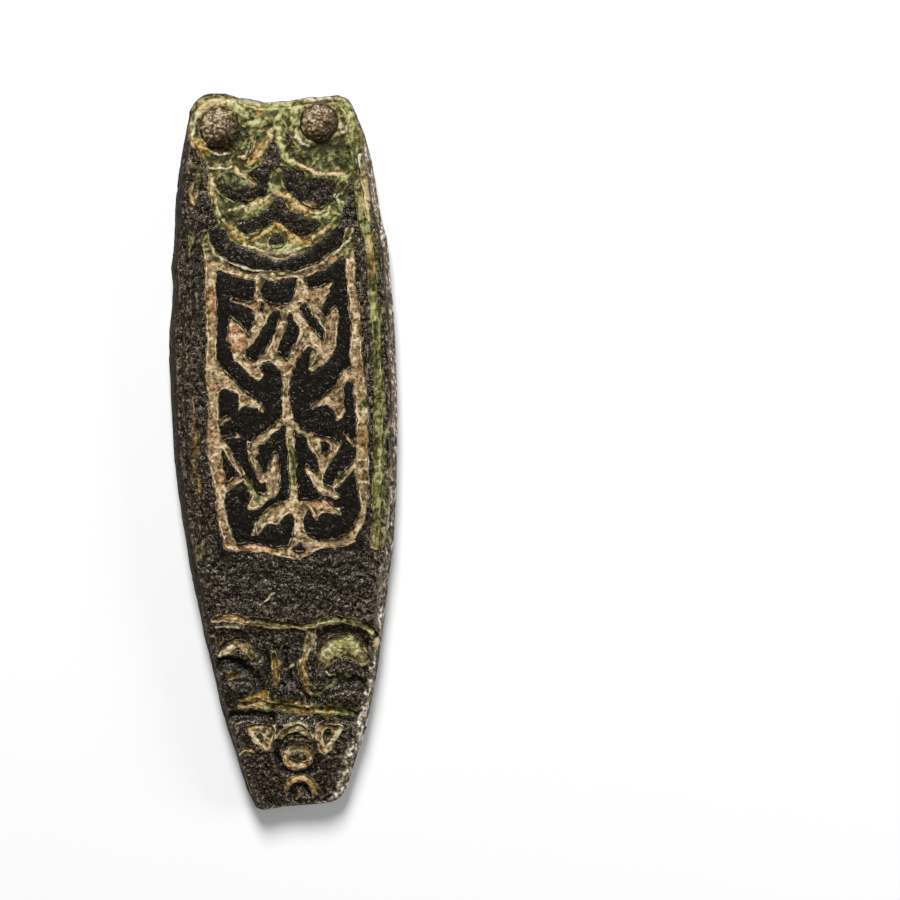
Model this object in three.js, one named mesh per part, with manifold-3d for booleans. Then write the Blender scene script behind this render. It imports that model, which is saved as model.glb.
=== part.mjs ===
import * as THREE from "three";
import { mergeVertices } from "three/addons/utils/BufferGeometryUtils.js";
import Module from "manifold-3d";

const wasm = await Module();
wasm.setup();

// A tongue-shaped cast strap end of the ninth century: a split upper end that grips the strap,
// two domed rivets, a crescent of leaves, a panel of interlaced strands and an animal head at the tip.
// It lies on its flat back: +Z is the ornamented face, +Y the strap end, -Y the animal's muzzle.

// Sizes of the whole casting, in millimetres
const overallLength = 60;
const overallWidth = 19;
const frontLeaf = 1.6;
const strapGap = 1.5;
const backLeaf = 0.9;
const slotDepth = 9.6;

// How the edges fall away from the face and from the back
const faceChamfer = 0.42;
const faceChamferHeight = 0.5;
const sideDraft = 0.2;
const backChamfer = 0.25;
const muzzleDrop = 1.1;
const muzzleSlopeLength = 7;
const cheekFall = 0.5;

// Carving
const reliefDepth = 0.5;
const borderRib = 1.25;
const borderGroove = 0.62;
const upperFieldLength = 11.5;
const panelHalfWidth = 6.3;
const panelLength = 26.8;
const headTop = 41.9;
const headLength = 18.25;

// Rivets
const leftRivetAcross = 4.55;
const leftRivetDown = 3.05;
const leftDomeRadius = 1.82;
const rightRivetAcross = 3.76;
const rightRivetDown = 2.9;
const rightDomeRadius = 1.72;
const domeHeight = 1.15;
const shankRadius = 0.75;
const shankClearance = 0.2;
const tailFlare = 0.42;
const tailHeight = 0.45;
const tailInset = 0.06;
const seatMargin = 0.62;

// One overrun for every cutting solid, and the steps of round forms
const overrun = 1;
const roundSteps = 28;
const domeSteps = 7;

const thickness = backLeaf + strapGap + frontLeaf;
const topEnd = overallLength / 2;
const halfWidth = overallWidth / 2;
const faceLevel = thickness;
const seatLevel = faceLevel - reliefDepth;

// Outline of the casting. Each side row holds the share of the length from the upper end down,
// then the left and the right edge as shares of half the width.
const sideShares = [
  [0.036, -0.764, 0.725], [0.064, -0.802, 0.790], [0.096, -0.844, 0.838], [0.128, -0.878, 0.869],
  [0.155, -0.901, 0.887], [0.182, -0.907, 0.911], [0.209, -0.921, 0.955], [0.243, -0.956, 0.971],
  [0.265, -0.942, 0.973], [0.293, -0.957, 0.987], [0.328, -0.985, 0.997], [0.370, -1.000, 0.999],
  [0.419, -0.995, 1.000], [0.475, -0.987, 0.993], [0.510, -0.981, 0.978], [0.559, -0.954, 0.966],
  [0.603, -0.922, 0.941], [0.640, -0.891, 0.923], [0.673, -0.861, 0.882], [0.714, -0.813, 0.848],
  [0.756, -0.769, 0.803], [0.792, -0.718, 0.769], [0.821, -0.679, 0.734], [0.853, -0.645, 0.687],
  [0.888, -0.588, 0.637], [0.916, -0.532, 0.576], [0.946, -0.483, 0.503], [0.971, -0.437, 0.453],
  [0.983, -0.402, 0.408],
];
// The two-lobed upper edge from left to right, and the tip of the muzzle from right to left
const upperEdgeShares = [
  [-0.748, 0.0242], [-0.719, 0.0159], [-0.673, 0.0078], [-0.618, 0.0025], [-0.573, 0],
  [-0.413, 0.0008], [-0.307, 0.0070], [-0.191, 0.0103], [-0.085, 0.0151], [0.040, 0.0137],
  [0.154, 0.0142], [0.268, 0.0106], [0.338, 0.0096], [0.486, 0.0096], [0.574, 0.0081],
  [0.652, 0.0134], [0.685, 0.0205],
];
const muzzleTipShares = [
  [0.345, 0.9900], [0.266, 0.9940], [0.177, 0.9950], [-0.069, 0.9960], [-0.197, 0.9985],
  [-0.268, 1], [-0.320, 0.9995], [-0.364, 0.9960],
];

// Where the border grooves begin and end, from the upper end down
const borderShares = { start: 0.09, end: 0.65 };

// Upper field, in shares of the panel's half width and of the field's own length.
// The sunk crescent, open between the rivets.
const crescentFieldShares = [
  [-0.45, 0.09], [0.35, 0.09], [0.35, 0.30], [0.60, 0.30], [0.96, 0.33], [1.02, 0.42], [1.02, 0.52],
  [1.00, 0.62], [0.95, 0.72], [0.90, 0.82], [0.86, 0.90], [0.80, 0.98], [0.72, 1.035],
  [0.65, 1.07], [0.55, 1.105], [0.47, 1.135], [0.38, 1.17], [0.25, 1.20], [0.10, 1.227],
  [-0.05, 1.225], [-0.18, 1.20], [-0.30, 1.18], [-0.40, 1.153], [-0.50, 1.13], [-0.61, 1.085],
  [-0.70, 1.02], [-0.77, 0.955], [-0.82, 0.88], [-0.86, 0.80], [-0.885, 0.70], [-0.88, 0.60],
  [-0.90, 0.52], [-1.00, 0.42], [-0.98, 0.36], [-0.72, 0.30], [-0.45, 0.30],
];
// Raised leaves and ridges inside it
const leafShares = [
  // stem with the inner lobe of the left leaf
  [[-0.05, 0.38], [0.01, 0.37], [0.05, 0.44], [0.07, 0.50], [0.05, 0.55], [-0.04, 0.58],
    [-0.07, 0.62], [-0.09, 0.68], [-0.13, 0.73], [-0.20, 0.76], [-0.27, 0.73], [-0.30, 0.69],
    [-0.26, 0.66], [-0.34, 0.62], [-0.34, 0.59], [-0.26, 0.56], [-0.19, 0.54], [-0.16, 0.50],
    [-0.11, 0.44]],
  // outer lobe of the left leaf
  [[-0.18, 0.755], [-0.28, 0.79], [-0.37, 0.805], [-0.47, 0.80], [-0.57, 0.79], [-0.66, 0.765],
    [-0.74, 0.74], [-0.81, 0.70], [-0.81, 0.66], [-0.73, 0.62], [-0.63, 0.59], [-0.53, 0.59],
    [-0.46, 0.63], [-0.38, 0.67], [-0.31, 0.705], [-0.26, 0.73]],
  // inner lobe of the right leaf
  [[0.06, 0.55], [0.13, 0.56], [0.24, 0.575], [0.34, 0.59], [0.38, 0.61], [0.37, 0.64],
    [0.31, 0.665], [0.36, 0.70], [0.30, 0.75], [0.22, 0.76], [0.14, 0.73], [0.09, 0.68],
    [0.08, 0.62]],
  // outer lobe of the right leaf
  [[0.34, 0.67], [0.42, 0.65], [0.52, 0.64], [0.62, 0.65], [0.72, 0.66], [0.82, 0.67],
    [0.85, 0.69], [0.82, 0.75], [0.75, 0.81], [0.66, 0.845], [0.56, 0.865], [0.45, 0.865],
    [0.35, 0.835], [0.27, 0.795], [0.23, 0.765], [0.31, 0.74]],
  // spreading lower leaf
  [[0.04, 0.77], [0.08, 0.80], [0.13, 0.85], [0.20, 0.885], [0.28, 0.915], [0.38, 0.945],
    [0.48, 0.965], [0.58, 0.97], [0.56, 1.00], [0.48, 1.03], [0.38, 1.055], [0.28, 1.055],
    [0.19, 1.045], [0.12, 1.015], [0.05, 0.975], [-0.02, 0.95], [-0.09, 0.955], [-0.18, 0.985],
    [-0.26, 1.015], [-0.35, 1.035], [-0.44, 1.03], [-0.51, 1.005], [-0.56, 0.975],
    [-0.54, 0.94], [-0.45, 0.93], [-0.34, 0.92], [-0.24, 0.895], [-0.14, 0.85], [-0.05, 0.80]],
  // small boss at the foot of the crescent
  [[-0.13, 1.11], [-0.09, 1.06], [-0.01, 1.04], [0.07, 1.06], [0.115, 1.11], [0.07, 1.14],
    [-0.01, 1.155], [-0.09, 1.145]],
];
// Rims between the rivets and the stem: across, down, width
const rimShares = [
  [[-0.245, 0.30, 0.02], [-0.27, 0.35, 0.05], [-0.33, 0.43, 0.05], [-0.39, 0.51, 0.03]],
  [[0.14, 0.28, 0.03], [0.16, 0.34, 0.06], [0.22, 0.40, 0.06], [0.31, 0.44, 0.03]],
];

// Panel, in shares of its half width and its length. Rows with three values are grooves:
// across, down and width. Rows with two values outline sunk fields or raised islands.
const panelGrooveShares = [
  // frame, left, right and foot
  [[-0.955, 0.005, 0.05], [-0.95, 0.03, 0.08], [-0.93, 0.06, 0.12], [-0.90, 0.10, 0.14],
    [-0.90, 0.15, 0.12], [-0.915, 0.25, 0.13], [-0.92, 0.35, 0.12], [-0.94, 0.45, 0.14],
    [-0.93, 0.55, 0.12], [-0.935, 0.60, 0.13], [-0.93, 0.65, 0.18], [-0.93, 0.70, 0.15],
    [-0.90, 0.75, 0.15], [-0.87, 0.80, 0.13], [-0.88, 0.85, 0.10], [-0.86, 0.90, 0.11],
    [-0.81, 0.95, 0.13], [-0.72, 0.985, 0.12]],
  [[0.94, 0.005, 0.10], [0.93, 0.05, 0.14], [0.945, 0.10, 0.11], [0.95, 0.20, 0.10],
    [0.985, 0.30, 0.11], [0.98, 0.40, 0.14], [1.01, 0.50, 0.15], [1.015, 0.55, 0.12],
    [1.045, 0.60, 0.14], [1.03, 0.65, 0.15], [1.01, 0.70, 0.15], [1.00, 0.75, 0.16],
    [1.01, 0.80, 0.15], [1.01, 0.85, 0.10], [1.01, 0.88, 0.05]],
  [[1.01, 0.870, 0.06], [0.99, 0.900, 0.07], [0.96, 0.920, 0.09], [0.92, 0.940, 0.10],
    [0.86, 0.958, 0.10], [0.78, 0.972, 0.09], [0.68, 0.98, 0.08]],
  [[-0.83, 0.980, 0.06], [-0.73, 0.987, 0.09], [-0.60, 0.988, 0.09], [-0.45, 0.990, 0.10],
    [-0.30, 0.995, 0.10], [-0.15, 1.003, 0.11], [0.00, 1.008, 0.13], [0.12, 1.010, 0.15],
    [0.24, 1.004, 0.15], [0.36, 0.993, 0.12], [0.50, 0.986, 0.09], [0.65, 0.985, 0.09],
    [0.78, 0.981, 0.08], [0.88, 0.975, 0.05]],
  // left of the middle block
  [[-0.275, 0.15, 0.05], [-0.29, 0.175, 0.07], [-0.29, 0.20, 0.07], [-0.27, 0.225, 0.07]],
  // between the two slanting bars, then down the middle and through the stem
  [[0.06, 0.245, 0.16], [0.055, 0.27, 0.12], [0.03, 0.29, 0.10], [0.00, 0.31, 0.10],
    [-0.03, 0.33, 0.10], [-0.065, 0.35, 0.11], [-0.11, 0.37, 0.11], [-0.16, 0.388, 0.12]],
  [[-0.32, 0.417, 0.04], [-0.26, 0.408, 0.08], [-0.19, 0.398, 0.12], [-0.11, 0.40, 0.18],
    [-0.04, 0.415, 0.14], [0.03, 0.435, 0.11], [0.055, 0.46, 0.10], [0.045, 0.50, 0.08],
    [0.04, 0.54, 0.09], [0.05, 0.58, 0.14], [0.06, 0.62, 0.08], [0.08, 0.66, 0.09],
    [0.09, 0.70, 0.085], [0.095, 0.75, 0.09], [0.10, 0.80, 0.085], [0.10, 0.84, 0.10],
    [0.11, 0.865, 0.12]],
  // branches below the node
  [[0.02, 0.590, 0.09], [-0.08, 0.610, 0.08], [-0.16, 0.628, 0.08], [-0.24, 0.643, 0.08],
    [-0.32, 0.656, 0.09], [-0.40, 0.668, 0.11]],
  [[-0.465, 0.680, 0.09], [-0.44, 0.710, 0.08], [-0.41, 0.730, 0.07],
    [-0.37, 0.750, 0.08], [-0.33, 0.768, 0.09], [-0.29, 0.785, 0.09]],
  [[0.04, 0.590, 0.09], [0.12, 0.612, 0.08], [0.20, 0.628, 0.08], [0.28, 0.640, 0.08],
    [0.36, 0.651, 0.08]],
  // strand crossing at the lower left
  [[-0.92, 0.640, 0.14], [-0.83, 0.663, 0.11], [-0.76, 0.685, 0.07], [-0.71, 0.708, 0.07],
    [-0.66, 0.728, 0.07], [-0.60, 0.750, 0.07], [-0.55, 0.768, 0.07]],
  [[-0.89, 0.845, 0.05], [-0.85, 0.817, 0.07], [-0.78, 0.797, 0.08], [-0.69, 0.785, 0.07],
    [-0.60, 0.778, 0.07], [-0.52, 0.775, 0.06]],
  [[-0.85, 0.602, 0.05], [-0.79, 0.588, 0.06], [-0.72, 0.580, 0.04]],
  [[-0.83, 0.648, 0.04], [-0.74, 0.642, 0.035], [-0.66, 0.641, 0.035], [-0.59, 0.648, 0.02]],
  // strand crossing at the lower right
  [[0.61, 0.816, 0.03], [0.66, 0.800, 0.06], [0.73, 0.783, 0.08], [0.80, 0.770, 0.08],
    [0.87, 0.754, 0.08], [0.94, 0.735, 0.09]],
  [[0.79, 0.642, 0.02], [0.85, 0.662, 0.04], [0.92, 0.684, 0.05]],
];
const panelFieldShares = [
  // under the crescent band
  [[-0.95, 0.045], [-0.86, 0.055], [-0.80, 0.07], [-0.72, 0.09], [-0.66, 0.103], [-0.58, 0.118],
    [-0.48, 0.128], [-0.38, 0.134], [-0.28, 0.139], [-0.15, 0.136], [0.00, 0.134], [0.12, 0.138],
    [0.24, 0.136], [0.34, 0.127], [0.46, 0.117], [0.56, 0.106], [0.65, 0.09], [0.75, 0.072],
    [0.84, 0.058], [0.93, 0.05], [0.93, 0.075], [0.80, 0.098], [0.70, 0.118], [0.58, 0.133],
    [0.46, 0.146], [0.34, 0.155], [0.26, 0.153], [0.18, 0.154], [0.05, 0.162], [-0.10, 0.162],
    [-0.22, 0.156], [-0.30, 0.158], [-0.38, 0.155], [-0.50, 0.150], [-0.62, 0.142],
    [-0.72, 0.129], [-0.82, 0.123], [-0.95, 0.12]],
  // left of the slanting bar
  [[-0.67, 0.208], [-0.58, 0.217], [-0.50, 0.225], [-0.42, 0.230], [-0.36, 0.225],
    [-0.30, 0.214], [-0.24, 0.218], [-0.18, 0.228], [-0.10, 0.238], [0.00, 0.240], [0.10, 0.238],
    [0.10, 0.252], [0.00, 0.252], [-0.08, 0.252], [-0.13, 0.255], [-0.17, 0.278],
    [-0.20, 0.297], [-0.25, 0.313], [-0.31, 0.333], [-0.38, 0.353], [-0.44, 0.365],
    [-0.43, 0.345], [-0.43, 0.314], [-0.37, 0.298], [-0.335, 0.280], [-0.34, 0.262],
    [-0.38, 0.248], [-0.45, 0.239], [-0.54, 0.232], [-0.62, 0.222]],
  // broad triangle on the left
  [[-0.655, 0.265], [-0.62, 0.280], [-0.57, 0.288], [-0.53, 0.298], [-0.49, 0.312],
    [-0.45, 0.330], [-0.40, 0.345], [-0.42, 0.358], [-0.47, 0.372], [-0.50, 0.385],
    [-0.49, 0.400], [-0.44, 0.407], [-0.37, 0.410], [-0.31, 0.415], [-0.29, 0.430],
    [-0.265, 0.450], [-0.27, 0.465], [-0.32, 0.474], [-0.38, 0.465], [-0.43, 0.453],
    [-0.48, 0.440], [-0.53, 0.428], [-0.58, 0.415], [-0.64, 0.402], [-0.66, 0.380],
    [-0.655, 0.355], [-0.67, 0.335], [-0.69, 0.315], [-0.68, 0.295], [-0.67, 0.280]],
  // right of the middle block, round the slanting strand, and back to the middle
  [[0.25, 0.150], [0.32, 0.155], [0.33, 0.175], [0.38, 0.187], [0.46, 0.193], [0.54, 0.192],
    [0.62, 0.183], [0.69, 0.170], [0.70, 0.178], [0.66, 0.195], [0.62, 0.212], [0.59, 0.230],
    [0.55, 0.246], [0.525, 0.256], [0.54, 0.268], [0.58, 0.278], [0.63, 0.278], [0.67, 0.268],
    [0.71, 0.252], [0.74, 0.250], [0.755, 0.280], [0.75, 0.310], [0.74, 0.340], [0.72, 0.362],
    [0.70, 0.380], [0.66, 0.397], [0.62, 0.412], [0.57, 0.424], [0.52, 0.432], [0.46, 0.434],
    [0.40, 0.440], [0.35, 0.437], [0.41, 0.424], [0.47, 0.411], [0.50, 0.398], [0.47, 0.385],
    [0.42, 0.374], [0.37, 0.367], [0.32, 0.375], [0.27, 0.387], [0.225, 0.400], [0.19, 0.416],
    [0.16, 0.432], [0.13, 0.450], [0.10, 0.470], [0.05, 0.450], [0.04, 0.425], [0.08, 0.408],
    [0.10, 0.392], [0.13, 0.378], [0.17, 0.363], [0.21, 0.348], [0.24, 0.330], [0.225, 0.310],
    [0.19, 0.290], [0.18, 0.270], [0.12, 0.262], [0.11, 0.240], [0.15, 0.232], [0.19, 0.210],
    [0.22, 0.190], [0.235, 0.170]],
  // slanting field above the left leaf
  [[-0.97, 0.385], [-0.90, 0.393], [-0.85, 0.405], [-0.81, 0.420], [-0.77, 0.435],
    [-0.72, 0.450], [-0.66, 0.467], [-0.59, 0.486], [-0.52, 0.502], [-0.46, 0.514],
    [-0.39, 0.526], [-0.33, 0.540], [-0.28, 0.555], [-0.275, 0.572], [-0.31, 0.567],
    [-0.35, 0.553], [-0.41, 0.542], [-0.47, 0.540], [-0.53, 0.548], [-0.57, 0.560],
    [-0.605, 0.562], [-0.595, 0.540], [-0.60, 0.520], [-0.62, 0.506], [-0.68, 0.496],
    [-0.75, 0.490], [-0.80, 0.493], [-0.84, 0.500], [-0.97, 0.515]],
  // field above the right leaf, with the small leaf cut out of it
  [[1.02, 0.425], [0.92, 0.438], [0.84, 0.448], [0.77, 0.462], [0.72, 0.483], [0.65, 0.503],
    [0.58, 0.518], [0.50, 0.536], [0.43, 0.546], [0.36, 0.558], [0.38, 0.564], [0.44, 0.558],
    [0.50, 0.553], [0.57, 0.553], [0.63, 0.561], [0.68, 0.571], [0.69, 0.585], [0.715, 0.603],
    [0.76, 0.592], [0.795, 0.575], [0.80, 0.540], [0.79, 0.510], [0.82, 0.488], [0.86, 0.478],
    [0.90, 0.483], [0.95, 0.497], [1.02, 0.505]],
  // knot triangle left of the stem
  [[-0.51, 0.655], [-0.45, 0.668], [-0.38, 0.660], [-0.34, 0.675], [-0.36, 0.698],
    [-0.41, 0.706], [-0.46, 0.690]],
  // lens between the left strand and the stem
  [[-0.13, 0.688], [-0.105, 0.710], [-0.09, 0.750], [-0.095, 0.790], [-0.105, 0.820],
    [-0.15, 0.830], [-0.21, 0.838], [-0.27, 0.848], [-0.31, 0.845], [-0.29, 0.830],
    [-0.245, 0.815], [-0.25, 0.795], [-0.29, 0.778], [-0.26, 0.760], [-0.22, 0.745],
    [-0.19, 0.725], [-0.16, 0.705]],
  // hollow of the left spiral
  [[-0.56, 0.772], [-0.50, 0.776], [-0.45, 0.790], [-0.42, 0.805], [-0.38, 0.822],
    [-0.32, 0.828], [-0.28, 0.840], [-0.27, 0.850], [-0.33, 0.862], [-0.40, 0.868],
    [-0.48, 0.874], [-0.52, 0.872], [-0.50, 0.855], [-0.47, 0.840], [-0.44, 0.828],
    [-0.47, 0.815], [-0.50, 0.803], [-0.54, 0.790]],
  // knot triangle right of the stem
  [[0.27, 0.640], [0.38, 0.648], [0.46, 0.655], [0.54, 0.656], [0.62, 0.660], [0.69, 0.664],
    [0.75, 0.672], [0.71, 0.690], [0.67, 0.708], [0.62, 0.727], [0.57, 0.745], [0.53, 0.760],
    [0.49, 0.775], [0.47, 0.795], [0.52, 0.808], [0.58, 0.810], [0.63, 0.820], [0.67, 0.833],
    [0.70, 0.845], [0.62, 0.843], [0.54, 0.839], [0.47, 0.833], [0.41, 0.820], [0.36, 0.800],
    [0.32, 0.780], [0.28, 0.760], [0.26, 0.738], [0.29, 0.742], [0.33, 0.752], [0.38, 0.762],
    [0.43, 0.765], [0.46, 0.752], [0.45, 0.735], [0.42, 0.718], [0.38, 0.702], [0.34, 0.685],
    [0.30, 0.665]],
  // crescent over the two spirals, with its middle stem
  [[-0.42, 0.945], [-0.415, 0.923], [-0.37, 0.900], [-0.31, 0.886], [-0.25, 0.872],
    [-0.17, 0.858], [-0.08, 0.850], [0.02, 0.846], [0.16, 0.846], [0.25, 0.846], [0.35, 0.848],
    [0.45, 0.850], [0.50, 0.847], [0.56, 0.860], [0.62, 0.873], [0.68, 0.885], [0.73, 0.900],
    [0.64, 0.893], [0.56, 0.890], [0.48, 0.890], [0.425, 0.895], [0.405, 0.912], [0.38, 0.903],
    [0.34, 0.886], [0.285, 0.868], [0.25, 0.880], [0.22, 0.898], [0.20, 0.918], [0.22, 0.938],
    [0.26, 0.952], [0.31, 0.963], [0.37, 0.972], [0.42, 0.985], [0.30, 1.00], [0.00, 1.00],
    [0.03, 0.978], [0.075, 0.960], [0.10, 0.932], [0.095, 0.900], [0.06, 0.885],
    [0.01, 0.885], [-0.04, 0.895], [-0.08, 0.910], [-0.12, 0.920], [-0.20, 0.918],
    [-0.28, 0.918], [-0.32, 0.930], [-0.35, 0.945], [-0.39, 0.953]],
];
const panelIslandShares = [
  [[0.26, 0.250], [0.30, 0.234], [0.35, 0.237], [0.39, 0.251], [0.42, 0.270], [0.47, 0.287],
    [0.53, 0.303], [0.59, 0.323], [0.585, 0.345], [0.565, 0.360], [0.53, 0.353], [0.49, 0.338],
    [0.45, 0.322], [0.40, 0.310], [0.35, 0.297], [0.31, 0.283], [0.28, 0.270]],
  [[0.30, 0.326], [0.31, 0.332], [0.27, 0.350], [0.22, 0.374], [0.20, 0.376], [0.24, 0.350]],
  [[-0.28, 0.228], [-0.24, 0.226], [-0.22, 0.236], [-0.225, 0.256], [-0.27, 0.250]],
  [[0.45, 0.672], [0.50, 0.666], [0.57, 0.670], [0.61, 0.680], [0.59, 0.700], [0.56, 0.713],
    [0.52, 0.713], [0.48, 0.698]],
  [[0.03, 0.998], [0.10, 0.987], [0.14, 0.976], [0.19, 0.980], [0.20, 0.993], [0.25, 1.000],
    [0.19, 1.010], [0.13, 1.011], [0.07, 1.004]],
];

// Animal head, in shares of the panel's half width and of the head's length
const headGrooveShares = [
  // hairline behind both ears
  [[-1.06, 0.118, 0.05], [-0.93, 0.107, 0.07], [-0.79, 0.103, 0.07], [-0.63, 0.112, 0.06],
    [-0.48, 0.123, 0.05], [-0.30, 0.130, 0.05], [-0.12, 0.142, 0.05], [0.05, 0.153, 0.05],
    [0.20, 0.158, 0.05], [0.30, 0.152, 0.05], [0.42, 0.140, 0.06], [0.55, 0.131, 0.06],
    [0.70, 0.130, 0.06], [0.85, 0.142, 0.07], [0.97, 0.160, 0.07], [1.07, 0.185, 0.07],
    [1.14, 0.215, 0.07]],
  // worn left ear
  [[-0.97, 0.278, 0.04], [-0.87, 0.258, 0.08], [-0.78, 0.233, 0.09], [-0.70, 0.223, 0.09],
    [-0.62, 0.240, 0.09], [-0.55, 0.268, 0.09], [-0.53, 0.296, 0.05]],
  [[-0.89, 0.386, 0.04], [-0.80, 0.372, 0.05], [-0.71, 0.365, 0.04]],
  // crown groove
  [[-0.24, 0.275, 0.03], [-0.23, 0.310, 0.06], [-0.22, 0.340, 0.07], [-0.22, 0.370, 0.07],
    [-0.22, 0.400, 0.06], [-0.22, 0.425, 0.03]],
  // comma round the right ear
  [[0.27, 0.165, 0.09], [0.25, 0.205, 0.11], [0.22, 0.240, 0.11], [0.17, 0.272, 0.09],
    [0.13, 0.302, 0.07], [0.12, 0.332, 0.07], [0.13, 0.362, 0.08], [0.15, 0.392, 0.09],
    [0.18, 0.422, 0.09], [0.22, 0.450, 0.08], [0.28, 0.463, 0.07], [0.36, 0.455, 0.06],
    [0.44, 0.438, 0.05], [0.52, 0.423, 0.05], [0.60, 0.405, 0.05]],
  // brow
  [[-0.77, 0.508, 0.05], [-0.62, 0.503, 0.09], [-0.48, 0.500, 0.09], [-0.34, 0.513, 0.07],
    [-0.20, 0.520, 0.08], [-0.06, 0.530, 0.09], [0.08, 0.540, 0.09], [0.20, 0.543, 0.07],
    [0.34, 0.540, 0.07], [0.48, 0.541, 0.08], [0.62, 0.549, 0.08], [0.76, 0.556, 0.06],
    [0.85, 0.566, 0.03]],
  // bridge of the nose and muzzle arch
  [[-0.22, 0.662, 0.03], [-0.14, 0.640, 0.05], [-0.06, 0.624, 0.07], [0.02, 0.617, 0.08],
    [0.10, 0.627, 0.08], [0.17, 0.645, 0.06], [0.23, 0.670, 0.03]],
  [[-0.14, 0.905, 0.03], [-0.12, 0.880, 0.05], [-0.08, 0.862, 0.05], [-0.02, 0.852, 0.05],
    [0.05, 0.847, 0.05], [0.12, 0.850, 0.055], [0.175, 0.862, 0.06], [0.21, 0.882, 0.06],
    [0.225, 0.907, 0.06], [0.235, 0.930, 0.05], [0.27, 0.950, 0.04]],
];
const headFieldShares = [
  // hollow of the right ear
  [[0.36, 0.358], [0.34, 0.325], [0.35, 0.290], [0.38, 0.255], [0.43, 0.230], [0.50, 0.213],
    [0.60, 0.204], [0.70, 0.200], [0.80, 0.208], [0.88, 0.224], [0.95, 0.248], [1.00, 0.280],
    [1.03, 0.312], [0.99, 0.338], [0.93, 0.345], [0.87, 0.332], [0.80, 0.316], [0.72, 0.308],
    [0.64, 0.310], [0.56, 0.320], [0.49, 0.334], [0.42, 0.350]],
  // eyes
  [[-0.65, 0.615], [-0.58, 0.600], [-0.48, 0.594], [-0.38, 0.598], [-0.30, 0.600],
    [-0.26, 0.620], [-0.27, 0.650], [-0.30, 0.680], [-0.33, 0.706], [-0.38, 0.720],
    [-0.43, 0.714], [-0.48, 0.690], [-0.52, 0.665], [-0.57, 0.645], [-0.63, 0.630]],
  [[0.30, 0.620], [0.34, 0.600], [0.40, 0.604], [0.48, 0.610], [0.56, 0.617], [0.64, 0.621],
    [0.61, 0.645], [0.56, 0.670], [0.51, 0.695], [0.46, 0.720], [0.41, 0.740], [0.35, 0.740],
    [0.31, 0.715], [0.29, 0.680], [0.29, 0.650]],
  // ring on the nose
  [[-0.16, 0.750], [-0.13, 0.715], [-0.06, 0.695], [0.03, 0.688], [0.12, 0.695],
    [0.19, 0.715], [0.22, 0.750], [0.20, 0.785], [0.13, 0.803], [0.03, 0.810],
    [-0.07, 0.803], [-0.13, 0.785]],
];
const headIslandShares = [
  [[-0.51, 0.645], [-0.47, 0.632], [-0.42, 0.642], [-0.395, 0.670], [-0.43, 0.688],
    [-0.47, 0.675]],
  [[0.37, 0.660], [0.39, 0.630], [0.44, 0.620], [0.495, 0.635], [0.50, 0.658], [0.46, 0.685],
    [0.42, 0.695], [0.38, 0.685]],
  [[-0.10, 0.752], [-0.04, 0.727], [0.04, 0.718], [0.11, 0.730], [0.16, 0.755], [0.18, 0.775],
    [0.12, 0.782], [0.03, 0.776], [-0.05, 0.766]],
];

// Shares to points on the plan
const onOutline = ([across, down]) => [across * halfWidth, topEnd - down * overallLength];
const onUpperField = ([across, down]) => [across * panelHalfWidth, topEnd - down * upperFieldLength];
const onPanel = ([across, down]) => [
  across * panelHalfWidth,
  topEnd - upperFieldLength - down * panelLength,
];
const onHead = ([across, down]) => [across * panelHalfWidth, topEnd - headTop - down * headLength];

// A closed geometry as a solid, and a solid as a geometry
function solidOf(geometry) {
  geometry.deleteAttribute("normal");
  geometry.deleteAttribute("uv");
  const merged = mergeVertices(geometry);
  return new wasm.Manifold(new wasm.Mesh({
    numProp: 3,
    vertProperties: new Float32Array(merged.attributes.position.array),
    triVerts: new Uint32Array(merged.index.array),
  }));
}

function geometryOf(solid) {
  const mesh = solid.getMesh();
  const geometry = new THREE.BufferGeometry();
  geometry.setAttribute("position", new THREE.BufferAttribute(mesh.vertProperties, mesh.numProp));
  geometry.setIndex(new THREE.BufferAttribute(mesh.triVerts, 1));
  geometry.computeVertexNormals();
  return geometry;
}

// An upright prism over a plan outline, from one level up to another
function prism(points, low, high) {
  const plan = points.map(([x, y]) => new THREE.Vector2(x, y));
  if (THREE.ShapeUtils.isClockWise(plan)) plan.reverse();
  const geometry = new THREE.ExtrudeGeometry(new THREE.Shape(plan), {
    depth: high - low,
    bevelEnabled: false,
  });
  geometry.translate(0, 0, low);
  return solidOf(geometry);
}

// The plan outline of a groove: its middle line widened to both sides
function ribbon(rows, place) {
  const middle = rows.map((row) => new THREE.Vector2(...place(row)));
  const left = [];
  const right = [];
  rows.forEach((row, i) => {
    const before = middle[Math.max(i - 1, 0)];
    const after = middle[Math.min(i + 1, rows.length - 1)];
    const along = after.clone().sub(before).normalize();
    const reach = row[2] * panelHalfWidth / 2;
    left.push([middle[i].x - along.y * reach, middle[i].y + along.x * reach]);
    right.unshift([middle[i].x + along.y * reach, middle[i].y - along.x * reach]);
  });
  return [...left, ...right];
}

// Closed body made of rings of points, one above another
function stack(rings) {
  const count = rings[0].points.length;
  const position = rings.flatMap(({ points, level }) => points.flatMap(([x, y]) => [x, y, level]));
  const index = [];
  for (let ring = 0; ring < rings.length - 1; ring += 1) {
    for (let i = 0; i < count; i += 1) {
      const a = ring * count + i;
      const b = ring * count + (i + 1) % count;
      index.push(a, b, b + count, a, b + count, a + count);
    }
  }
  const lid = (points) => THREE.ShapeUtils.triangulateShape(
    points.map(([x, y]) => new THREE.Vector2(x, y)), []);
  const last = (rings.length - 1) * count;
  for (const [a, b, c] of lid(rings[0].points)) index.push(a, c, b);
  for (const face of lid(rings[rings.length - 1].points)) index.push(...face.map((i) => last + i));
  const geometry = new THREE.BufferGeometry();
  geometry.setAttribute("position", new THREE.Float32BufferAttribute(position, 3));
  geometry.setIndex(index);
  return solidOf(geometry);
}

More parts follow.
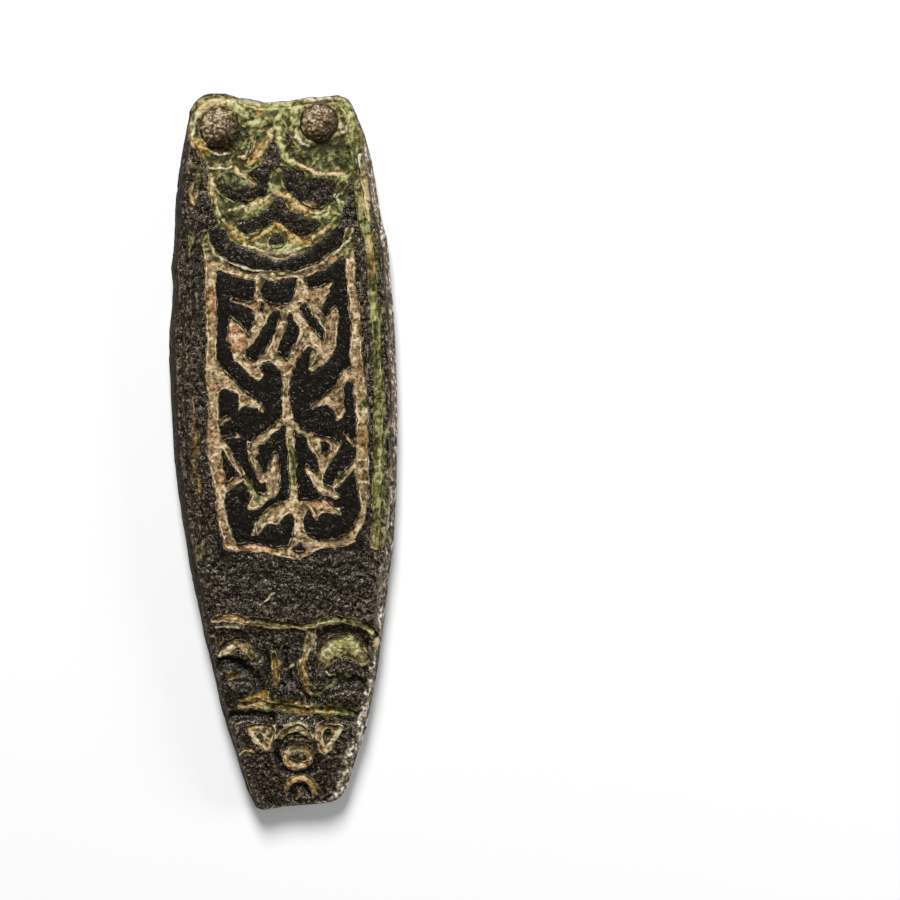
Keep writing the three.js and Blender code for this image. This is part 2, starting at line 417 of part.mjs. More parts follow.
// Outline of the casting, counter-clockwise, and the same outline drawn in by a distance
const castingOutline = [
  ...upperEdgeShares.slice().reverse(),
  ...sideShares.map(([down, left]) => [left, down]),
  ...muzzleTipShares.slice().reverse(),
  ...sideShares.slice().reverse().map(([down, , right]) => [right, down]),
].map(onOutline);

// How far the face is drawn in at a point: the edge falls away most at the animal's cheeks
function faceInset(y) {
  const headStart = topEnd - headTop;
  const share = THREE.MathUtils.clamp((headStart - y) / (headStart + topEnd), 0, 1);
  return sideDraft + faceChamfer + Math.sin(Math.PI * share) * cheekFall;
}

function drawnIn(points, distanceAt) {
  return points.map(([x, y], i) => {
    const [px, py] = points[(i + points.length - 1) % points.length];
    const [nx, ny] = points[(i + 1) % points.length];
    const along = new THREE.Vector2(nx - px, ny - py).normalize();
    return [x - along.y * distanceAt(y), y + along.x * distanceAt(y)];
  });
}

// Bare casting before it is carved
function castingBlank() {
  const blank = stack([
    { level: 0, points: drawnIn(castingOutline, () => backChamfer) },
    { level: backChamfer, points: castingOutline },
    { level: backLeaf + strapGap, points: castingOutline },
    { level: faceLevel - faceChamferHeight, points: drawnIn(castingOutline, () => sideDraft) },
    { level: faceLevel, points: drawnIn(castingOutline, faceInset) },
  ]);
  return blank.subtract(muzzleSlope());
}

// Wedge that takes the muzzle down towards its tip
function muzzleSlope() {
  const foot = -topEnd - overrun;
  const start = -topEnd + muzzleSlopeLength;
  const fall = muzzleDrop * (start - foot) / muzzleSlopeLength;
  return crosswise([[start, faceLevel], [start, faceLevel + overrun],
    [foot, faceLevel + overrun], [foot, faceLevel - fall]]);
}

// A bar right across the casting, with its section given along and up
function crosswise(section) {
  const plan = section.map(([y, z]) => new THREE.Vector2(y, z));
  if (THREE.ShapeUtils.isClockWise(plan)) plan.reverse();
  const reach = overallWidth + overrun;
  const geometry = new THREE.ExtrudeGeometry(new THREE.Shape(plan), {
    depth: reach,
    bevelEnabled: false,
  });
  geometry.translate(0, 0, -reach / 2);
  geometry.applyMatrix4(new THREE.Matrix4().makeBasis(
    new THREE.Vector3(0, 1, 0), new THREE.Vector3(0, 0, 1), new THREE.Vector3(1, 0, 0)));
  return solidOf(geometry);
}

// Groove inside the outer rib, on one side of the casting
function borderGrooveRows(side) {
  return sideShares
    .filter(([down]) => down > borderShares.start && down < borderShares.end)
    .map(([down, left, right]) => {
      const edge = (side < 0 ? left : right) * halfWidth;
      const across = edge - side * (borderRib + borderGroove / 2);
      return [across / panelHalfWidth, down, borderGroove / panelHalfWidth];
    });
}

const onBorder = ([across, down]) => [across * panelHalfWidth, topEnd - down * overallLength];

// All that is sunk below the face, as upright prisms
function carving() {
  const low = backLeaf + strapGap;
  const high = faceLevel + overrun;
  const sunk = [];
  const raised = [];
  const cut = (points) => sunk.push(prism(points, low, high));
  const keep = (points) => raised.push(prism(points, low - overrun, high + overrun));

  cut(crescentFieldShares.map(onUpperField));
  for (const rivet of rivets) cut(circle(rivet.across, rivet.down, rivet.domeRadius + seatMargin));
  for (const leaf of leafShares) keep(leaf.map(onUpperField));
  for (const rim of rimShares) keep(ribbon(rim, onUpperField));

  for (const groove of panelGrooveShares) cut(ribbon(groove, onPanel));
  for (const field of panelFieldShares) cut(field.map(onPanel));
  for (const island of panelIslandShares) keep(island.map(onPanel));

  for (const side of [-1, 1]) cut(ribbon(borderGrooveRows(side), onBorder));

  for (const groove of headGrooveShares) cut(ribbon(groove, onHead));
  for (const field of headFieldShares) cut(field.map(onHead));
  for (const island of headIslandShares) keep(island.map(onHead));

  const join = (solids) => solids.reduce((whole, solid) => whole.add(solid));
  return join(sunk).subtract(join(raised));
}

function circle(x, down, radius) {
  const y = topEnd - down;
  return Array.from({ length: roundSteps }, (_, i) => {
    const turn = 2 * Math.PI * i / roundSteps;
    return [x + radius * Math.cos(turn), y + radius * Math.sin(turn)];
  });
}

// Turned solid standing on the plan at a rivet's place
function turned(profile, rivet) {
  const points = profile.map(([radius, level]) => new THREE.Vector2(radius, level));
  const geometry = new THREE.LatheGeometry(points, roundSteps);
  geometry.rotateX(Math.PI / 2);
  geometry.translate(rivet.across, topEnd - rivet.down, 0);
  return solidOf(geometry);
}

// Section of the hole through both leaves, with its countersink in the back
function holeProfile() {
  return [
    [0, -overrun],
    [shankRadius + tailFlare + shankClearance, -overrun],
    [shankRadius + tailFlare + shankClearance, tailInset],
    [shankRadius + shankClearance, tailInset + tailHeight + shankClearance],
    [shankRadius + shankClearance, faceLevel],
    [0, faceLevel],
  ];
}

// Section of a rivet: flared tail, shank, flat under the head and a low dome
function rivetProfile(rivet) {
  const dome = Array.from({ length: domeSteps }, (_, i) => {
    const turn = Math.PI / 2 * i / domeSteps;
    return [rivet.domeRadius * Math.cos(turn), seatLevel + domeHeight * Math.sin(turn)];
  });
  return [
    [0, tailInset],
    [shankRadius + tailFlare, tailInset],
    [shankRadius, tailInset + tailHeight],
    [shankRadius, seatLevel],
    ...dome,
    [0, seatLevel + domeHeight],
  ];
}

const rivets = [
  { name: "left_rivet", across: -leftRivetAcross, down: leftRivetDown, domeRadius: leftDomeRadius },
  { name: "right_rivet", across: rightRivetAcross, down: rightRivetDown, domeRadius: rightDomeRadius },
];

// Casting: the blank, carved to one depth below its own face, split for the strap and drilled
function castingSolid() {
  const blank = castingBlank();
  const floor = solidOf(geometryOf(blank).translate(0, 0, -reliefDepth));
  const slot = crosswise([
    [topEnd - slotDepth, backLeaf], [topEnd + overrun, backLeaf],
    [topEnd + overrun, backLeaf + strapGap], [topEnd - slotDepth, backLeaf + strapGap],
  ]);
  let casting = blank.subtract(carving().subtract(floor)).subtract(slot);
  for (const rivet of rivets) casting = casting.subtract(turned(holeProfile(), rivet));
  return casting;
}

const patina = new THREE.MeshStandardMaterial({ color: 0x3a332d, roughness: 0.5, metalness: 0.6 });
const rivetBronze = new THREE.MeshStandardMaterial({ color: 0x5f5548, roughness: 0.6, metalness: 0.6 });

const strapEnd = new THREE.Group();

const casting = new THREE.Mesh(geometryOf(castingSolid()), patina);
casting.name = "strap_end_casting";
strapEnd.add(casting);

for (const rivet of rivets) {
  const mesh = new THREE.Mesh(geometryOf(turned(rivetProfile(rivet), rivet)), rivetBronze);
  mesh.name = rivet.name;
  strapEnd.add(mesh);
}

export default strapEnd;
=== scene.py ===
import math
from types import SimpleNamespace

import bmesh
import bpy
import numpy as np
from mathutils import Euler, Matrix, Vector
from mathutils.bvhtree import BVHTree


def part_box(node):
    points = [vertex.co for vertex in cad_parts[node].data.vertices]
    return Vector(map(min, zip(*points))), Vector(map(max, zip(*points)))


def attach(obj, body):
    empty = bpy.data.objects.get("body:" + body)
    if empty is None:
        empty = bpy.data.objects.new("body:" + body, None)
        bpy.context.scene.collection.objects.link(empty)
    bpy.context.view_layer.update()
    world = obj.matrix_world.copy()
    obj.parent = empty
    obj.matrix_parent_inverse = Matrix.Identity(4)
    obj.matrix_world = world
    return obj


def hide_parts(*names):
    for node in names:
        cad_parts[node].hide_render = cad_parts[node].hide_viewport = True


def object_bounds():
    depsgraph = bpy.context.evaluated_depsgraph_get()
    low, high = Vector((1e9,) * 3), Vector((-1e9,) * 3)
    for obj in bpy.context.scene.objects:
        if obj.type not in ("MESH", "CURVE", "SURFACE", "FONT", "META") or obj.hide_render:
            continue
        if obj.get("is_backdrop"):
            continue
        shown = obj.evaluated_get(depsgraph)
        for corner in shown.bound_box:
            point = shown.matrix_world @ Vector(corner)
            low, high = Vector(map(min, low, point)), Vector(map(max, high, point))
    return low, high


# Early medieval strap end: one dark casting with a carved face, and two domed rivets.
# Shapes are worked on in millimetres and go back to metres when a piece is finished.
# "down" is the distance from the upper end towards the muzzle.
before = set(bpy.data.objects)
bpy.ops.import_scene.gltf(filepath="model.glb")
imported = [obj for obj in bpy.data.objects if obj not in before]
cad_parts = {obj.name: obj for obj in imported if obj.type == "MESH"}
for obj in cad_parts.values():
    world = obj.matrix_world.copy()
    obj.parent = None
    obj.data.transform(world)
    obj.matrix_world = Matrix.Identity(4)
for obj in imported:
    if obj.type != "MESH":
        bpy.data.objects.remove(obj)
lowCorner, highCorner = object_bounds()
millimetre = 0.001
upperEnd = highCorner.y / millimetre
print("frame loaded")


def addObject(name, data):
    added = bpy.data.objects.new(name, data)
    bpy.context.scene.collection.objects.link(added)
    return added


# The camera looks straight down, turned and shifted so that the piece lies in the frame as photographed
cameraSetup = {
    "turn": math.radians(-1.896),
    "middle": (13.74, -0.48),  # what the middle of the picture shows, in mm
    "frameWidth": 75.42,  # mm across the picture
    "distance": 600,
    "sensorWidth": 36,
    "clip": (0.01, 20),
}


def makeCamera(setup):
    data = bpy.data.cameras.new("camera")
    data.sensor_width = setup["sensorWidth"]
    data.lens = data.sensor_width * setup["distance"] / setup["frameWidth"]
    data.clip_start, data.clip_end = setup["clip"]
    camera = addObject("camera", data)
    x, y = setup["middle"]
    camera.location = Vector((x, y, setup["distance"])) * millimetre
    camera.rotation_euler = (0, 0, setup["turn"])
    bpy.context.scene.camera = camera


makeCamera(cameraSetup)
print("camera made")


# Small tools for grids of values over the plan, one value for each cell
def blurred(grid, cells):
    reach = int(math.ceil(3 * cells))
    kernel = np.exp(-0.5 * (np.arange(-reach, reach + 1) / cells) ** 2)
    kernel /= kernel.sum()
    for axis in (0, 1):
        padding = [(0, 0), (0, 0)]
        padding[axis] = (reach, reach)
        wide = np.pad(grid, padding, mode="edge")
        length = grid.shape[axis]
        grid = sum(k * np.take(wide, range(i, i + length), axis) for i, k in enumerate(kernel))
    return grid


def smoothStep(low, high, value):
    share = np.clip((value - low) / (high - low), 0, 1)
    return share * share * (3 - 2 * share)


# Smooth random values from 0 to 1, with cells of the given size, the same on each run.
# The cells are turned so that their sides don't line up with the piece.
cellTurn = np.array(Euler((0.5, 0.7, 0.9)).to_matrix())
cellsBeforeRepeat = 32


def cellNoise(points, size, seed):
    lattice = np.random.default_rng(seed).random((cellsBeforeRepeat,) * 3)
    place = points @ cellTurn / size
    corner = np.floor(place).astype(int)
    part = place - corner
    part = part * part * (3 - 2 * part)
    value = np.zeros(len(points))
    for step in np.ndindex(2, 2, 2):
        share = np.prod(np.where(step, part, 1 - part), axis=1)
        x, y, z = ((corner + step) % cellsBeforeRepeat).T
        value += share * lattice[x, y, z]
    return value


# Each layer is half as coarse as the one before, lies elsewhere and counts for less
layerShift, layerShare = 7.3, 0.55


def roughNoise(points, size, seed, layers=3):
    value, weight = 0, 0
    for layer in range(layers):
        share = layerShare ** layer
        value = value + share * cellNoise(points + layerShift * layer, size / 2 ** layer, seed + layer)
        weight += share
    return value / weight


# A fine even skin over a frame node, in mm, with its edges softened
weldDistance = 0.0005


def fineSkin(nodeName, look):
    shape = bmesh.new()
    shape.from_mesh(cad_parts[nodeName].data)
    bmesh.ops.scale(shape, vec=(1 / millimetre,) * 3, verts=shape.verts)
    bmesh.ops.remove_doubles(shape, verts=shape.verts, dist=weldDistance)
    mesh = bpy.data.meshes.new(nodeName + "_skin")
    shape.to_mesh(mesh)
    shape.free()
    rough = addObject(nodeName + "_skin", mesh)
    remesh = rough.modifiers.new("skin", "REMESH")
    remesh.mode = "VOXEL"
    remesh.voxel_size = look["voxel"]
    soften = rough.modifiers.new("soften", "SMOOTH")
    soften.factor = 0.5
    soften.iterations = look["softening"]
    graph = bpy.context.evaluated_depsgraph_get()
    skin = bpy.data.meshes.new_from_object(rough.evaluated_get(graph))
    bpy.data.objects.remove(rough)
    bpy.data.meshes.remove(mesh)
    return skin, read(skin.vertices, "co", 3), read(skin.vertices, "normal", 3)


def read(items, name, width):
    values = np.empty(len(items) * width, np.float32)
    items.foreach_get(name, values)
    return values.reshape(-1, width).astype(float)


def nodeBox(nodeName):
    return [np.array(corner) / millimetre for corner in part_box(nodeName)]


def finishPiece(name, mesh, points, values, material, nodeName):
    points = np.clip(points, *nodeBox(nodeName))
    mesh.vertices.foreach_set("co", (points * millimetre).astype(np.float32).ravel())
    for key, value in values.items():
        layer = mesh.attributes.new(key, "FLOAT", "POINT")
        layer.data.foreach_set("value", value.astype(np.float32))
    mesh.polygons.foreach_set("use_smooth", np.ones(len(mesh.polygons), bool))
    mesh.materials.clear()
    mesh.materials.append(material)
    mesh.update()
    piece = addObject(name, mesh)
    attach(piece, "root")
    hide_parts(nodeName)
    return piece


# Plan grids of the casting, in mm: how high its top is, and where it is carved away
planGrid = {
    "cell": 0.05,
    "margin": 0.5,  # how far the grid goes past the outline
    "above": 10,  # where the rays that measure the top start
    "reliefDepth": 0.5,
    "slopeStart": -23,  # from here the face slopes down to the muzzle
    "slopeDrop": 1.1,
    "edgeBand": 0.35,  # blur of the outline
    "wallBand": 0.07,  # blur of the carved walls
    "nearBand": 0.25,  # and of what lies close to them
}


def planHeights(nodeName, setup):
    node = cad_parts[nodeName]
    node.data.calc_loop_triangles()
    corners = [tuple(v.co / millimetre) for v in node.data.vertices]
    faces = [tuple(t.vertices) for t in node.data.loop_triangles]
    tree = BVHTree.FromPolygons(corners, faces)
    low, high = nodeBox(nodeName)
    xs, ys = (np.arange(low[axis] - setup["margin"], high[axis] + setup["margin"], setup["cell"])
              for axis in (0, 1))
    heights = np.full((len(ys), len(xs)), -1.0)
    down = Vector((0, 0, -1))
    for row, y in enumerate(ys):
        for column, x in enumerate(xs):
            spot = tree.ray_cast(Vector((x, y, setup["above"])), down)[0]
            if spot is not None:
                heights[row, column] = spot.z
    return xs, ys, heights


print("reading the carving")
gridX, gridY, planTop = planHeights("strap_end_casting", planGrid)


def softened(grid, width):
    return blurred(grid.astype(float), width / planGrid["cell"])


def atPoints(grid, points):
    column = np.clip((points[:, 0] - gridX[0]) / planGrid["cell"], 0, len(gridX) - 1.001)
    row = np.clip((points[:, 1] - gridY[0]) / planGrid["cell"], 0, len(gridY) - 1.001)
    c, r = column.astype(int), row.astype(int)
    fc, fr = column - c, row - r
    upper = grid[r, c] * (1 - fc) + grid[r, c + 1] * fc
    lower = grid[r + 1, c] * (1 - fc) + grid[r + 1, c + 1] * fc
    return upper * (1 - fr) + lower * fr


def faceLevel(y, setup):
    low, high = nodeBox("strap_end_casting")
    length = setup["slopeStart"] - low[1]
    return high[2] - setup["slopeDrop"] * np.clip((setup["slopeStart"] - y) / length, 0, 1.2)


hasMetal = planTop > 0
levelGrid = faceLevel(gridY, planGrid)[:, None] + np.zeros(len(gridX))
inside = softened(hasMetal, planGrid["edgeBand"])
sunk = levelGrid - planTop > 0.5 * planGrid["reliefDepth"]
carved = sunk & (inside > 0.97)
print("carving read", carved.mean())

# The plan's left and right edge at each row
filled = hasMetal.any(axis=1)
leftEdge = np.where(filled, gridX[hasMetal.argmax(axis=1)], 0)
rightEdge = np.where(filled, gridX[len(gridX) - 1 - hasMetal[:, ::-1].argmax(axis=1)], 0)


# How the face was sculpted beyond its carving, in mm. A depth below zero stands up.
# Strokes: width, depth, and (across, down) along the middle line.
sculptStrokes = [
    # the worn upper edge between the rivets
    (1.1, 0.06, (-6.9, 2.6), (-6.5, 1.4), (-5.6, 0.7), (-4.4, 0.45), (-2.4, 0.7), (-1.2, 0.95), (1, 0.9),
     (2.6, 0.6), (4.6, 0.6), (5.8, 1), (6.3, 1.9)),
    # the brow valley and its dark undercut on the left
    (1.6, 0.22, (-5.8, 51.7), (-4.4, 51.7), (-2.8, 51.6), (-1, 51.8), (1, 52.1), (3, 52.3), (5, 52.5)),
    (1, 0.48, (-6, 52), (-4.5, 51.95), (-3, 52), (-1.9, 52.2)),
    # behind the left ear, over it and between the ears
    (1.2, 0.45, (-6.4, 47.8), (-5.6, 47.5), (-4.6, 47.8), (-4, 48.3)),
    (0.4, 0.32, (-5.9, 46.3), (-5.2, 45.9), (-4.4, 45.5)),
    (0.5, 0.3, (-5.7, 48.9), (-4.9, 48.8), (-4, 48.8), (-3.2, 49)),
    (0.7, 0.3, (-2.3, 46.4), (-2.1, 47.6), (-2.4, 49.2)),
    (0.6, 0.26, (-0.5, 46.6), (-0.6, 47.6), (-0.3, 49)),
    # the dark arc round the right ear and the cleft beside the sliver
    (0.9, 0.24, (2.1, 46.9), (2.3, 46.1), (3, 45.4), (4.2, 45.1), (5.4, 45.5), (6.2, 46.4)),
    (0.8, 0.2, (2.2, 48.5), (3, 48), (4.2, 47.6), (5.3, 47.8), (5.9, 48.6)),
    # round the bulges right and left of the crown
    (0.9, 0.26, (2, 50.9), (2.9, 50.3), (4.2, 49.6), (5.4, 49.5), (6, 50)),
    (0.9, 0.28, (-2.6, 50.6), (-2.6, 49.7), (-3.2, 48.9)),
    (0.4, 0.3, (1.3, 51.2), (1.2, 50.6), (0.7, 49.8)),
    # rims of the ears
    (0.5, -0.2, (-6.5, 46.6), (-5.6, 45.5), (-4.5, 44.95), (-3.4, 45.3), (-2.5, 46.3)),
    (0.6, -0.24, (-6.1, 46.9), (-5.3, 46.35), (-4.5, 45.95), (-3.9, 46.1), (-3, 46.9)),
    (0.4, -0.26, (2, 47), (2.1, 48.2), (1.7, 49.5)),
    (0.5, -0.12, (0.3, 46.2), (0, 47.2), (0.2, 48.9)),
    # beside and under the nose, and in the mouth
    (0.6, 0.3, (-1.3, 54.3), (-1.6, 55.4), (-1.2, 56.7), (0.2, 57.1), (1.6, 56.7), (2, 55.4), (1.8, 54.6)),
    (0.35, 0.25, (-1.3, 54.1), (-0.4, 53.8), (0.6, 53.75), (1.3, 54.2)),
    (0.7, 0.3, (-0.4, 58.9), (-0.1, 58.2), (0.5, 58), (0.9, 58.7)),
]
# Spots: across, down, half width, half length, depth
sculptSpots = [
    (-4.4, 50, 1.6, 1.1, -0.34), (-0.1, 50.4, 1.2, 0.8, -0.26), (4.1, 50.7, 2, 0.8, -0.36),
    (4, 48.5, 1.6, 0.6, -0.3), (-3.8, 47, 0.9, 0.5, -0.16), (-0.9, 45.9, 1.1, 0.7, -0.12),
    (0.2, 54.3, 1.1, 0.35, -0.2), (0.25, 55.6, 0.6, 0.5, -0.16), (0.4, 58.3, 0.6, 0.5, 0.1),
    (-3.4, 57, 1.2, 1.4, -0.12), (-3.3, 52.8, 1.8, 0.4, 0.1), (3.4, 52.7, 1.6, 0.4, 0.08),
    (-2.85, 53.75, 0.5, 0.5, 0.22), (2.75, 53.85, 0.45, 0.6, 0.22), (2.6, 57, 1, 1.4, -0.08),
    (-7.2, 5.3, 0.7, 0.6, 0.14), (-7.5, 17.5, 0.4, 0.7, 0.08), (-8, 26, 0.4, 0.9, 0.08),
    (-8.1, 31, 0.4, 0.8, 0.08), (-7, 36, 0.5, 1.2, 0.1), (7.4, 44.2, 0.5, 0.9, 0.14),
    (-2, 40.6, 1.2, 0.5, 0.08), (3.2, 41.2, 1.4, 0.6, 0.08), (-4.6, 42, 1, 0.4, 0.09),
    (-1.2, 2.2, 1.6, 0.7, -0.1), (-4.6, 4.9, 1.6, 0.5, 0.14), (3.8, 4.9, 1.6, 0.4, 0.12),
]
headGround = {"start": 44.6, "depth": 0.36}
# The edges are worn to sloping strips, wider on the right: down, width, depth
rightWear = [(0, 0.3, 0.2), (5, 0.6, 0.35), (12, 0.55, 0.4), (20, 0.6, 0.4), (38, 0.7, 0.5), (42, 1, 0.55),
             (46, 0.7, 0.45), (50, 0.9, 0.5), (54, 1.6, 0.65), (58, 1.6, 0.75), (60, 1, 0.6)]
leftWear = [(0, 0.4, 0.25), (12, 0.35, 0.2), (40, 0.35, 0.2), (50, 0.5, 0.3), (60, 0.7, 0.4)]


def acrossAndDown(points):
    return points[:, 0], upperEnd - points[:, 1]


# How far a stroke or a soft oval spot covers each point: 1 in the middle, 0 beyond it
def strokeShare(x, down, path, width):
    nearest = np.full(np.shape(x), 1e3)
    for (x0, d0), (x1, d1) in zip(path, path[1:]):
        along = ((x - x0) * (x1 - x0) + (down - d0) * (d1 - d0)) / ((x1 - x0) ** 2 + (d1 - d0) ** 2)
        along = np.clip(along, 0, 1)
        nearest = np.minimum(nearest, np.hypot(x - x0 - along * (x1 - x0), down - d0 - along * (d1 - d0)))
    return 1 - smoothStep(0.1 * width, 0.75 * width, nearest)


def spotShare(x, down, spot, inner, outer):
    across, place, halfWidth, halfLength = spot
    distance = np.hypot((x - across) / halfWidth, (down - place) / halfLength)
    return 1 - smoothStep(inner, outer, distance)


def sculptDepth(points, margin):
    x, down = acrossAndDown(points)
    start = headGround["start"]
    depth = headGround["depth"] * smoothStep(start - 0.5, start + 0.9, down) * smoothStep(0.2, 1.2, margin)
    hollow = np.zeros(len(points))
    for width, amount, *path in sculptStrokes:
        share = amount * strokeShare(x, down, path, width)
        hollow = np.maximum(hollow, share) if amount > 0 else hollow + share
    depth = depth + hollow
    for *spot, amount in sculptSpots:
        depth = depth + amount * spotShare(x, down, spot, 0.2, 1.3)
    return np.maximum(depth, 0)


def edgeWear(points, rows, edge, side):
    x, down = acrossAndDown(points)
    places, widths, depths = np.array(rows).T
    away = side * (np.interp(points[:, 1], gridY, edge) - x)
    share = np.clip(1 - away / np.interp(down, places, widths), 0, 1)
    return share, np.interp(down, places, depths) * share ** 1.3, away


# Where the finish changes over the face: across, down, half width, half length, strength
patches = {
    "green": [
        (-0.6, 2.5, 3, 1.3, 1), (-2.6, 1.3, 1.2, 0.7, 0.7), (1.5, 1.9, 1, 0.9, 0.8),
        (6.3, 2.8, 0.6, 2.2, 0.8), (-4.6, 5.1, 1.4, 0.8, 1), (-6.7, 2.6, 0.35, 1.2, 0.5),
        (4.4, 5.7, 2.4, 1, 1), (1.1, 5.2, 0.6, 1, 0.7), (-2.8, 4, 0.8, 1.6, 0.7), (0.5, 4.2, 0.4, 1.4, 0.6),
        (-3.6, 7.3, 1.5, 0.9, 0.75), (-4.6, 9.8, 0.9, 1.5, 0.9), (-2.6, 10.1, 1.6, 0.5, 0.6),
        (5.2, 9.4, 0.6, 1.6, 0.9), (4.4, 11.2, 0.6, 0.8, 0.8), (-1.8, 12.3, 1, 0.6, 0.8),
        (-0.2, 13.5, 2.2, 0.45, 0.45), (0.2, 7.3, 0.4, 0.5, 0.6), (6.6, 5.9, 0.5, 1.6, 0.8),
        (-7.2, 12.4, 0.35, 1.2, 1), (-7.2, 38.5, 0.7, 1.5, 0.55), (7.1, 7.2, 0.5, 1.8, 0.6),
        (7.8, 12, 0.3, 1.2, 0.6), (7.8, 17, 0.35, 2.2, 0.7), (7.7, 22, 0.4, 2.6, 0.9),
        (8.1, 25.5, 0.5, 1.4, 0.7), (8, 30, 0.5, 2, 0.7), (7.9, 34.5, 0.4, 4, 1),
        (-0.3, 22.2, 0.5, 0.35, 0.7), (-1.4, 22, 0.4, 0.3, 0.6), (-1.6, 16.2, 0.25, 0.7, 0.6),
        (3.6, 19.3, 0.25, 0.4, 0.8), (6.6, 26.6, 0.35, 0.7, 0.8), (0.5, 31.3, 0.3, 2, 0.85),
        (-2.7, 31, 0.3, 0.5, 0.7), (-3, 32.8, 0.35, 0.6, 0.8), (-2.5, 34, 0.5, 0.5, 0.7),
        (4.6, 32.3, 0.8, 0.4, 0.6), (-4.2, 37.8, 0.6, 0.3, 0.6), (4.2, 44.4, 1.8, 0.35, 0.7),
        (4.4, 46.3, 0.8, 0.7, 0.8), (3.2, 47, 0.7, 0.8, 0.45), (1.5, 50, 0.5, 0.5, 0.6),
        (3.8, 49.3, 1, 0.4, 0.6), (4.4, 52, 0.8, 0.5, 0.8), (3, 52.1, 1, 0.4, 0.6), (0, 53, 1.2, 0.4, 0.5),
        (-1.3, 47.8, 0.4, 1.2, 0.4), (-4.4, 51.2, 0.9, 0.4, 0.5), (-5.2, 27.5, 0.5, 0.3, 0.5),
        (-0.2, 15.4, 1.6, 0.2, 0.5),
    ],
    "ochre": [
        (-1.1, 1.8, 0.5, 0.4, 1), (-6.1, 4.8, 0.4, 0.6, 0.9), (-5.9, 1, 0.9, 0.4, 0.7),
        (2.4, 6.6, 0.5, 0.3, 0.8), (4.3, 7.15, 1.2, 0.2, 0.8), (-1.2, 5, 0.7, 1.2, 0.6),
        (-5.4, 8.2, 0.25, 1, 0.8), (-1.5, 9.3, 0.9, 0.4, 0.7), (2.2, 9.8, 1.4, 0.5, 0.9),
        (-3.5, 12.3, 0.8, 0.4, 0.7), (1.9, 12.6, 1, 0.4, 0.9), (-0.2, 11.4, 0.5, 0.5, 0.7),
        (-7, 8.9, 0.35, 0.9, 0.9), (-7.5, 29, 0.3, 4, 0.5), (7.4, 8.9, 0.35, 1.2, 0.9),
        (7.7, 13.8, 0.35, 1.6, 0.8), (-5.8, 17.5, 0.5, 2.2, 1), (-3.7, 20.6, 0.7, 1.4, 1),
        (-5.4, 32.2, 0.4, 1, 1), (6.6, 29.3, 0.5, 1.2, 1), (3.2, 34.8, 0.8, 0.4, 1),
        (-2.6, 38.1, 1.3, 0.35, 1), (0.2, 35, 0.4, 0.4, 0.7), (2.6, 17.6, 0.6, 0.8, 0.5),
        (-5, 43.7, 0.5, 0.3, 0.9), (-4.2, 44, 0.5, 0.3, 0.7), (7.2, 46.2, 0.3, 0.8, 1),
        (1, 48.2, 0.3, 0.9, 0.8), (-1.3, 48, 0.25, 1.3, 0.8), (-5, 48.6, 0.5, 0.25, 0.7),
        (-3.4, 51.1, 1.2, 0.4, 0.9), (0.1, 51.5, 1.4, 0.35, 0.8), (2.4, 52, 1, 0.3, 0.7),
        (0.3, 56.4, 0.9, 0.25, 0.7), (0.4, 57.5, 1.2, 0.4, 0.7), (1.5, 58.3, 0.3, 0.7, 0.7),
    ],
    "cream": [
        (-0.2, 13.3, 2.2, 0.4, 0.5), (1.6, 46.2, 0.45, 0.8, 1), (3, 47.2, 0.8, 0.8, 0.7),
        (-5.3, 46.6, 0.8, 0.5, 0.9), (-3.6, 46.6, 0.8, 0.6, 0.45), (-6.2, 43.8, 0.5, 0.3, 0.8),
        # The cream spots at (-2.3, 36.2), (-2.4, 26.3) and (2.6, 22.7), on bulging strands of the panel, are
        # painted highlight as well as crust
        (-5, 44.5, 1.2, 0.25, 0.7), (-2.3, 36.2, 0.6, 0.4, 0.9), (-2.4, 26.3, 0.7, 0.3, 0.9),
        (2.6, 22.7, 0.4, 0.9, 0.9), (-6.7, 2.9, 0.25, 0.8, 0.7), (6.4, 3.2, 0.35, 1.2, 0.8),
        (5.5, 3.4, 0.25, 0.6, 0.6), (0.3, 53.3, 1.3, 0.4, 0.8), (0.2, 55.3, 1.2, 0.8, 0.6),
        (3.6, 10.5, 0.6, 0.3, 0.8), (-4.2, 13, 1, 0.3, 0.3), (0.2, 25, 0.4, 1.6, 0.5), (0, 52, 0.5, 0.3, 0.5),
        (2.2, 9.3, 0.9, 0.3, 0.4), (6.5, 33.5, 0.4, 1.4, 0.7), (-6, 24, 0.3, 3, 0.4),
    ],
    # where the recess holds little or nothing
    "bare": [
        (-7.4, 19.5, 0.8, 6, 1), (-7.4, 30, 0.8, 7.5, 0.9), (-7.2, 36.5, 0.9, 3, 0.9),
        (-7, 6.6, 0.6, 1.6, 0.8), (-7.2, 10.6, 0.4, 0.9, 0.5), (-7.2, 14.4, 0.5, 0.9, 0.6),
        (8, 26.5, 0.5, 1, 0.5), (-3.4, 44.3, 3.4, 0.4, 0.4), (6.4, 44.9, 1, 0.7, 0.5),
        (-4.2, 47, 1.4, 0.6, 0.2), (-2.85, 53.75, 0.4, 0.4, 1), (2.72, 53.8, 0.36, 0.5, 1),
        (0.4, 58.4, 1.3, 0.8, 0.35), (-1.2, 50.9, 1, 0.3, 0.4), (2.3, 48.8, 0.4, 0.6, 0.5),
        (4.6, 47.6, 0.8, 0.3, 0.4),
    ],
}
patchWander = 0.7  # how far the rim of a patch strays, in mm


def strayed(points, wander, size, seeds):
    return [value + wander * (roughNoise(points, size, seed) - 0.5)
            for value, seed in zip(acrossAndDown(points), seeds)]


def patchShare(points, rows, seed):
    x, down = strayed(points, patchWander, 0.8, (seed, seed + 5))
    share = np.zeros(len(points))
    for *spot, strength in rows:
        share = np.maximum(share, strength * spotShare(x, down, spot, 0.5, 1.3))
    return share


# Smooth parts of the face, in mm: from and to across, from and to down, then how smooth
smoothAreas = [(-6, 6.3, 14.2, 38.7, 1), (-5.6, 5.9, 11.6, 15.2, 0.85), (-5.2, 5.2, 6.4, 13, 0.6),
               (2.8, 5.2, 46.4, 47.8, 0.6)]
smoothRim = 0.3


